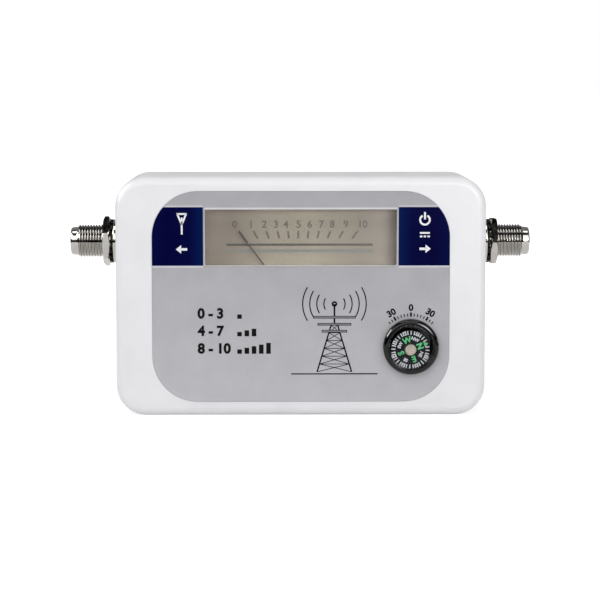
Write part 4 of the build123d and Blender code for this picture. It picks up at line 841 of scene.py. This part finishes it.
# Compass card: ticks and small number boxes round its edge, four green main letters with a green
# pointer at north, and four small white pairs between them. It hangs with north to the right.
cardLook = {
    "front": -15.3,
    "hang": 1.1,  # below the compass's middle, by the play of its cap
    "north": 69.5,  # degrees, clockwise from the top
    "marks": 32, "boxEvery": 4,
    "tick": (4.25, 5.36, 0.3), "box": (4.25, 5.36, 1.0), "pointer": (4.1, 5.36, 1.5),  # radii and width
    "boxNumber": (0.72, 0.04),  # height and weight
    "letters": ("N", "NE", "E", "SE", "S", "SW", "W", "NW"),
    "mainLetter": (2.83, 1.75), "pairLetter": (3.2, 0.95),  # radius and height
    "weight": 0.035,
}


def printCard(look):
    white, green, black = bmesh.new(), bmesh.new(), bmesh.new()
    inner, outer, width = look["tick"]
    low, high, across = look["box"]
    size, weight = look["boxNumber"]
    for i in range(look["marks"]):
        angle = look["north"] + i * 360 / look["marks"]
        if i % look["boxEvery"]:
            inkBar(white, clockPlace(inner, angle), clockPlace(outer, angle), width)
        elif i:  # at north the pointer takes the box's place
            inkBar(white, clockPlace(low, angle), clockPlace(high, angle), across)
            middle = clockPlace((low + high) / 2, angle)
            inkText(black, str(i // look["boxEvery"]), size, middle, weight, -angle)
    for i, letters in enumerate(look["letters"]):
        angle = look["north"] + i * 360 / len(look["letters"])
        radius, height = look["pairLetter"] if i % 2 else look["mainLetter"]
        middle = clockPlace(radius, angle)
        inkText(white if i % 2 else green, letters, height, middle, look["weight"], -angle)
    low, high, across = look["pointer"]
    tip, foot = Vector(clockPlace(high, look["north"])), Vector(clockPlace(low, look["north"]))
    aside = Vector(clockPlace(across / 2, look["north"] + 90))
    inkShape(green, [tip, foot + aside, foot - aside])
    bmesh.ops.translate(black, verts=black.verts, vec=(0, 0, inkLook["thickness"]))
    place = (compassMiddle[0], look["front"], compassMiddle[1] - look["hang"])
    layInk(white, "card_white_print", "cardWhiteInk", place, "card")
    layInk(green, "card_green_print", "cardGreenInk", place, "card")
    layInk(black, "card_black_print", "blackInk", place, "card")


printCard(cardLook)
print("compass card printed")

# Label print. Places are (to the right of the middle, above the base), and the bearing marks are drawn
# round the compass's middle.
labelPlace = (0, -16.6, 0)
keyLook = {
    "left": -29.3,
    "rows": [(29.35, "0 - 3", 1), (24.35, "4 - 7", 3), (19.35, "8 - 10", 5)],  # height, numbers, bars
    "size": 3.1, "weight": 0.045,
    "bars": (-17.4, 2.05, 1.3),  # first bar's middle, spacing and width
    "tall": (0.4, 0.15),  # first bar's height and each next one's gain, as shares of the size
}


def printKey(look):
    # the key to the scale: which numbers mean one, three or five bars
    bm = bmesh.new()
    first, spacing, width = look["bars"]
    least, gain = look["tall"]
    for height, numbers, count in look["rows"]:
        inkText(bm, numbers, look["size"], (look["left"], height), look["weight"], fromLeft=True)
        foot = height - look["size"] / 2
        for i in range(count):
            x = first + i * spacing
            inkBar(bm, (x, foot), (x, foot + look["size"] * (least + gain * i)), width)
    layInk(bm, "scale_key_print", "blackInk", labelPlace)


mastLook = {
    "foot": (12.6, 4.6, 14.4), "neck": (26.0, 8.6, 10.4),  # height, left leg and right leg
    "levels": 6, "leg": 0.42, "brace": 0.2,
    "top": (9.5, 32.0), "pole": 0.5,
    "knob": (0.55, 0.5),  # radius and width of its line
    "waves": [3.0, 5.0, 7.0, 9.0], "wave": 0.34, "waveReach": 32,  # radii, width, degrees up and down
    "rods": [(24.2, 3.4), (26.2, 4.6), (28.2, 5.8)],  # height and half length
    "rod": (0.75, 0.4), "rodEnd": 0.2,  # width of the black and of the grey on it, black past the grey
    "ground": (12.0, -2.8, 21.8, 0.35),  # height, left and right end, width
}


def printMast(look):
    # a lattice mast on the ground with waves to both sides
    black, grey = bmesh.new(), bmesh.new()
    footHeight, footLeft, footRight = look["foot"]
    neckHeight, neckLeft, neckRight = look["neck"]

    def leg(share, left):
        # a place this far up a leg
        start, end = (footLeft, neckLeft) if left else (footRight, neckRight)
        return start + (end - start) * share, footHeight + (neckHeight - footHeight) * share

    inkBar(black, leg(0, True), leg(1, True), look["leg"])
    inkBar(black, leg(0, False), leg(1, False), look["leg"])
    for i in range(look["levels"]):
        low, high = i / look["levels"], (i + 1) / look["levels"]
        inkBar(black, leg(low, True), leg(high, False), look["brace"])
        inkBar(black, leg(low, False), leg(high, True), look["brace"])
        inkBar(black, leg(high, True), leg(high, False), look["brace"])
    topX, topZ = look["top"]
    inkBar(black, (topX, neckHeight), (topX, topZ), look["pole"])
    inkArc(black, look["top"], *look["knob"], 0, 360)
    reach = look["waveReach"]
    for radius in look["waves"]:
        for middle in (0, 180):
            inkArc(black, look["top"], radius, look["wave"], middle - reach, middle + reach)
    (thick, thin), end = look["rod"], look["rodEnd"]
    for height, half in look["rods"]:
        inkBar(black, (topX - half - end, height), (topX + half + end, height), thick)
        inkBar(grey, (topX - half, height), (topX + half, height), thin)
    height, left, right, width = look["ground"]
    inkBar(black, (left, height), (right, height), width)
    bmesh.ops.translate(grey, verts=grey.verts, vec=(0, 0, inkLook["thickness"]))
    layInk(black, "mast_black_print", "blackInk", labelPlace)
    layInk(grey, "mast_grey_print", "greyInk", labelPlace)


bearingLook = {
    "tick": (8.6, 9.4, 0.3), "mainTick": (8.5, 9.7, 0.55),  # radii and width
    "step": 6, "reach": 42,  # degrees
    "numbers": {-30: "30", 0: "0", 30: "30"}, "numberRadius": 11.1, "size": 2.0, "weight": 0.045,
}


def printBearing(look):
    # plain marks over the compass for reading how far the card is turned
    bm = bmesh.new()
    for angle in range(-look["reach"], look["reach"] + 1, look["step"]):
        inner, outer, width = look["mainTick"] if angle in look["numbers"] else look["tick"]
        inkBar(bm, clockPlace(inner, angle), clockPlace(outer, angle), width)
    for angle, number in look["numbers"].items():
        middle = clockPlace(look["numberRadius"], angle)
        inkText(bm, number, look["size"], middle, look["weight"], -angle)
    place = (compassMiddle[0], labelPlace[1], compassMiddle[1])
    layInk(bm, "bearing_print", "blackInk", place)


signLook = {
    "aerial": (-33.6, 51.15), "power": (35.0, 51.25),  # middles of the two columns of signs
    # strokes are (start, end, width), counted from their column's middle
    "aerialStrokes": [((0, 0.6), (0, 5.4), 0.5), ((0, 3.4), (-1.25, 6.4), 0.5),
                      ((0, 3.4), (1.25, 6.4), 0.5), ((-1.45, 6.4), (1.45, 6.4), 0.5)],
    "powerStrokes": [((0, 4.7), (0, 6.8), 0.55), ((-1.4, 0.9), (1.4, 0.9), 0.5)],
    "powerRing": (4.6, 1.35, 0.55, 120, 420),  # height, radius, width, first and last angle
    "dashes": (-0.1, 1.05, 0.33, 0.5),  # height, spacing, half length, width
    "arrowHeight": -3.6,
    "arrowShaft": (1.5, 0.4, 0.7),  # tail and end from the middle, width
    "arrowHead": (1.7, 0.2, 1.2),  # tip and foot from the middle, half width
}


def printSigns(look):
    # plain signs on the blue panels: aerial in on the left; power and direct current on the right; and
    # an arrow to each connector
    bm = bmesh.new()
    tail, end, width = look["arrowShaft"]
    tip, foot, half = look["arrowHead"]
    for name, way in (("aerial", -1), ("power", 1)):
        x, z = look[name]
        for (startX, startZ), (endX, endZ), stroke in look[name + "Strokes"]:
            inkBar(bm, (x + startX, z + startZ), (x + endX, z + endZ), stroke)
        z += look["arrowHeight"]
        inkBar(bm, (x - way * tail, z), (x + way * end, z), width)
        inkShape(bm, [(x + way * tip, z), (x + way * foot, z - way * half),
                      (x + way * foot, z + way * half)])
    x, z = look["power"]
    height, *ring = look["powerRing"]
    inkArc(bm, (x, z + height), *ring)
    height, spacing, half, width = look["dashes"]
    for middle in (x - spacing, x, x + spacing):
        inkBar(bm, (middle - half, z + height), (middle + half, z + height), width)
    layInk(bm, "panel_signs_print", "whiteInk", labelPlace)


printKey(keyLook)
printMast(mastLook)
printBearing(bearingLook)
printSigns(signLook)
print("label printed")

bpy.context.scene.view_settings.view_transform = "Standard"
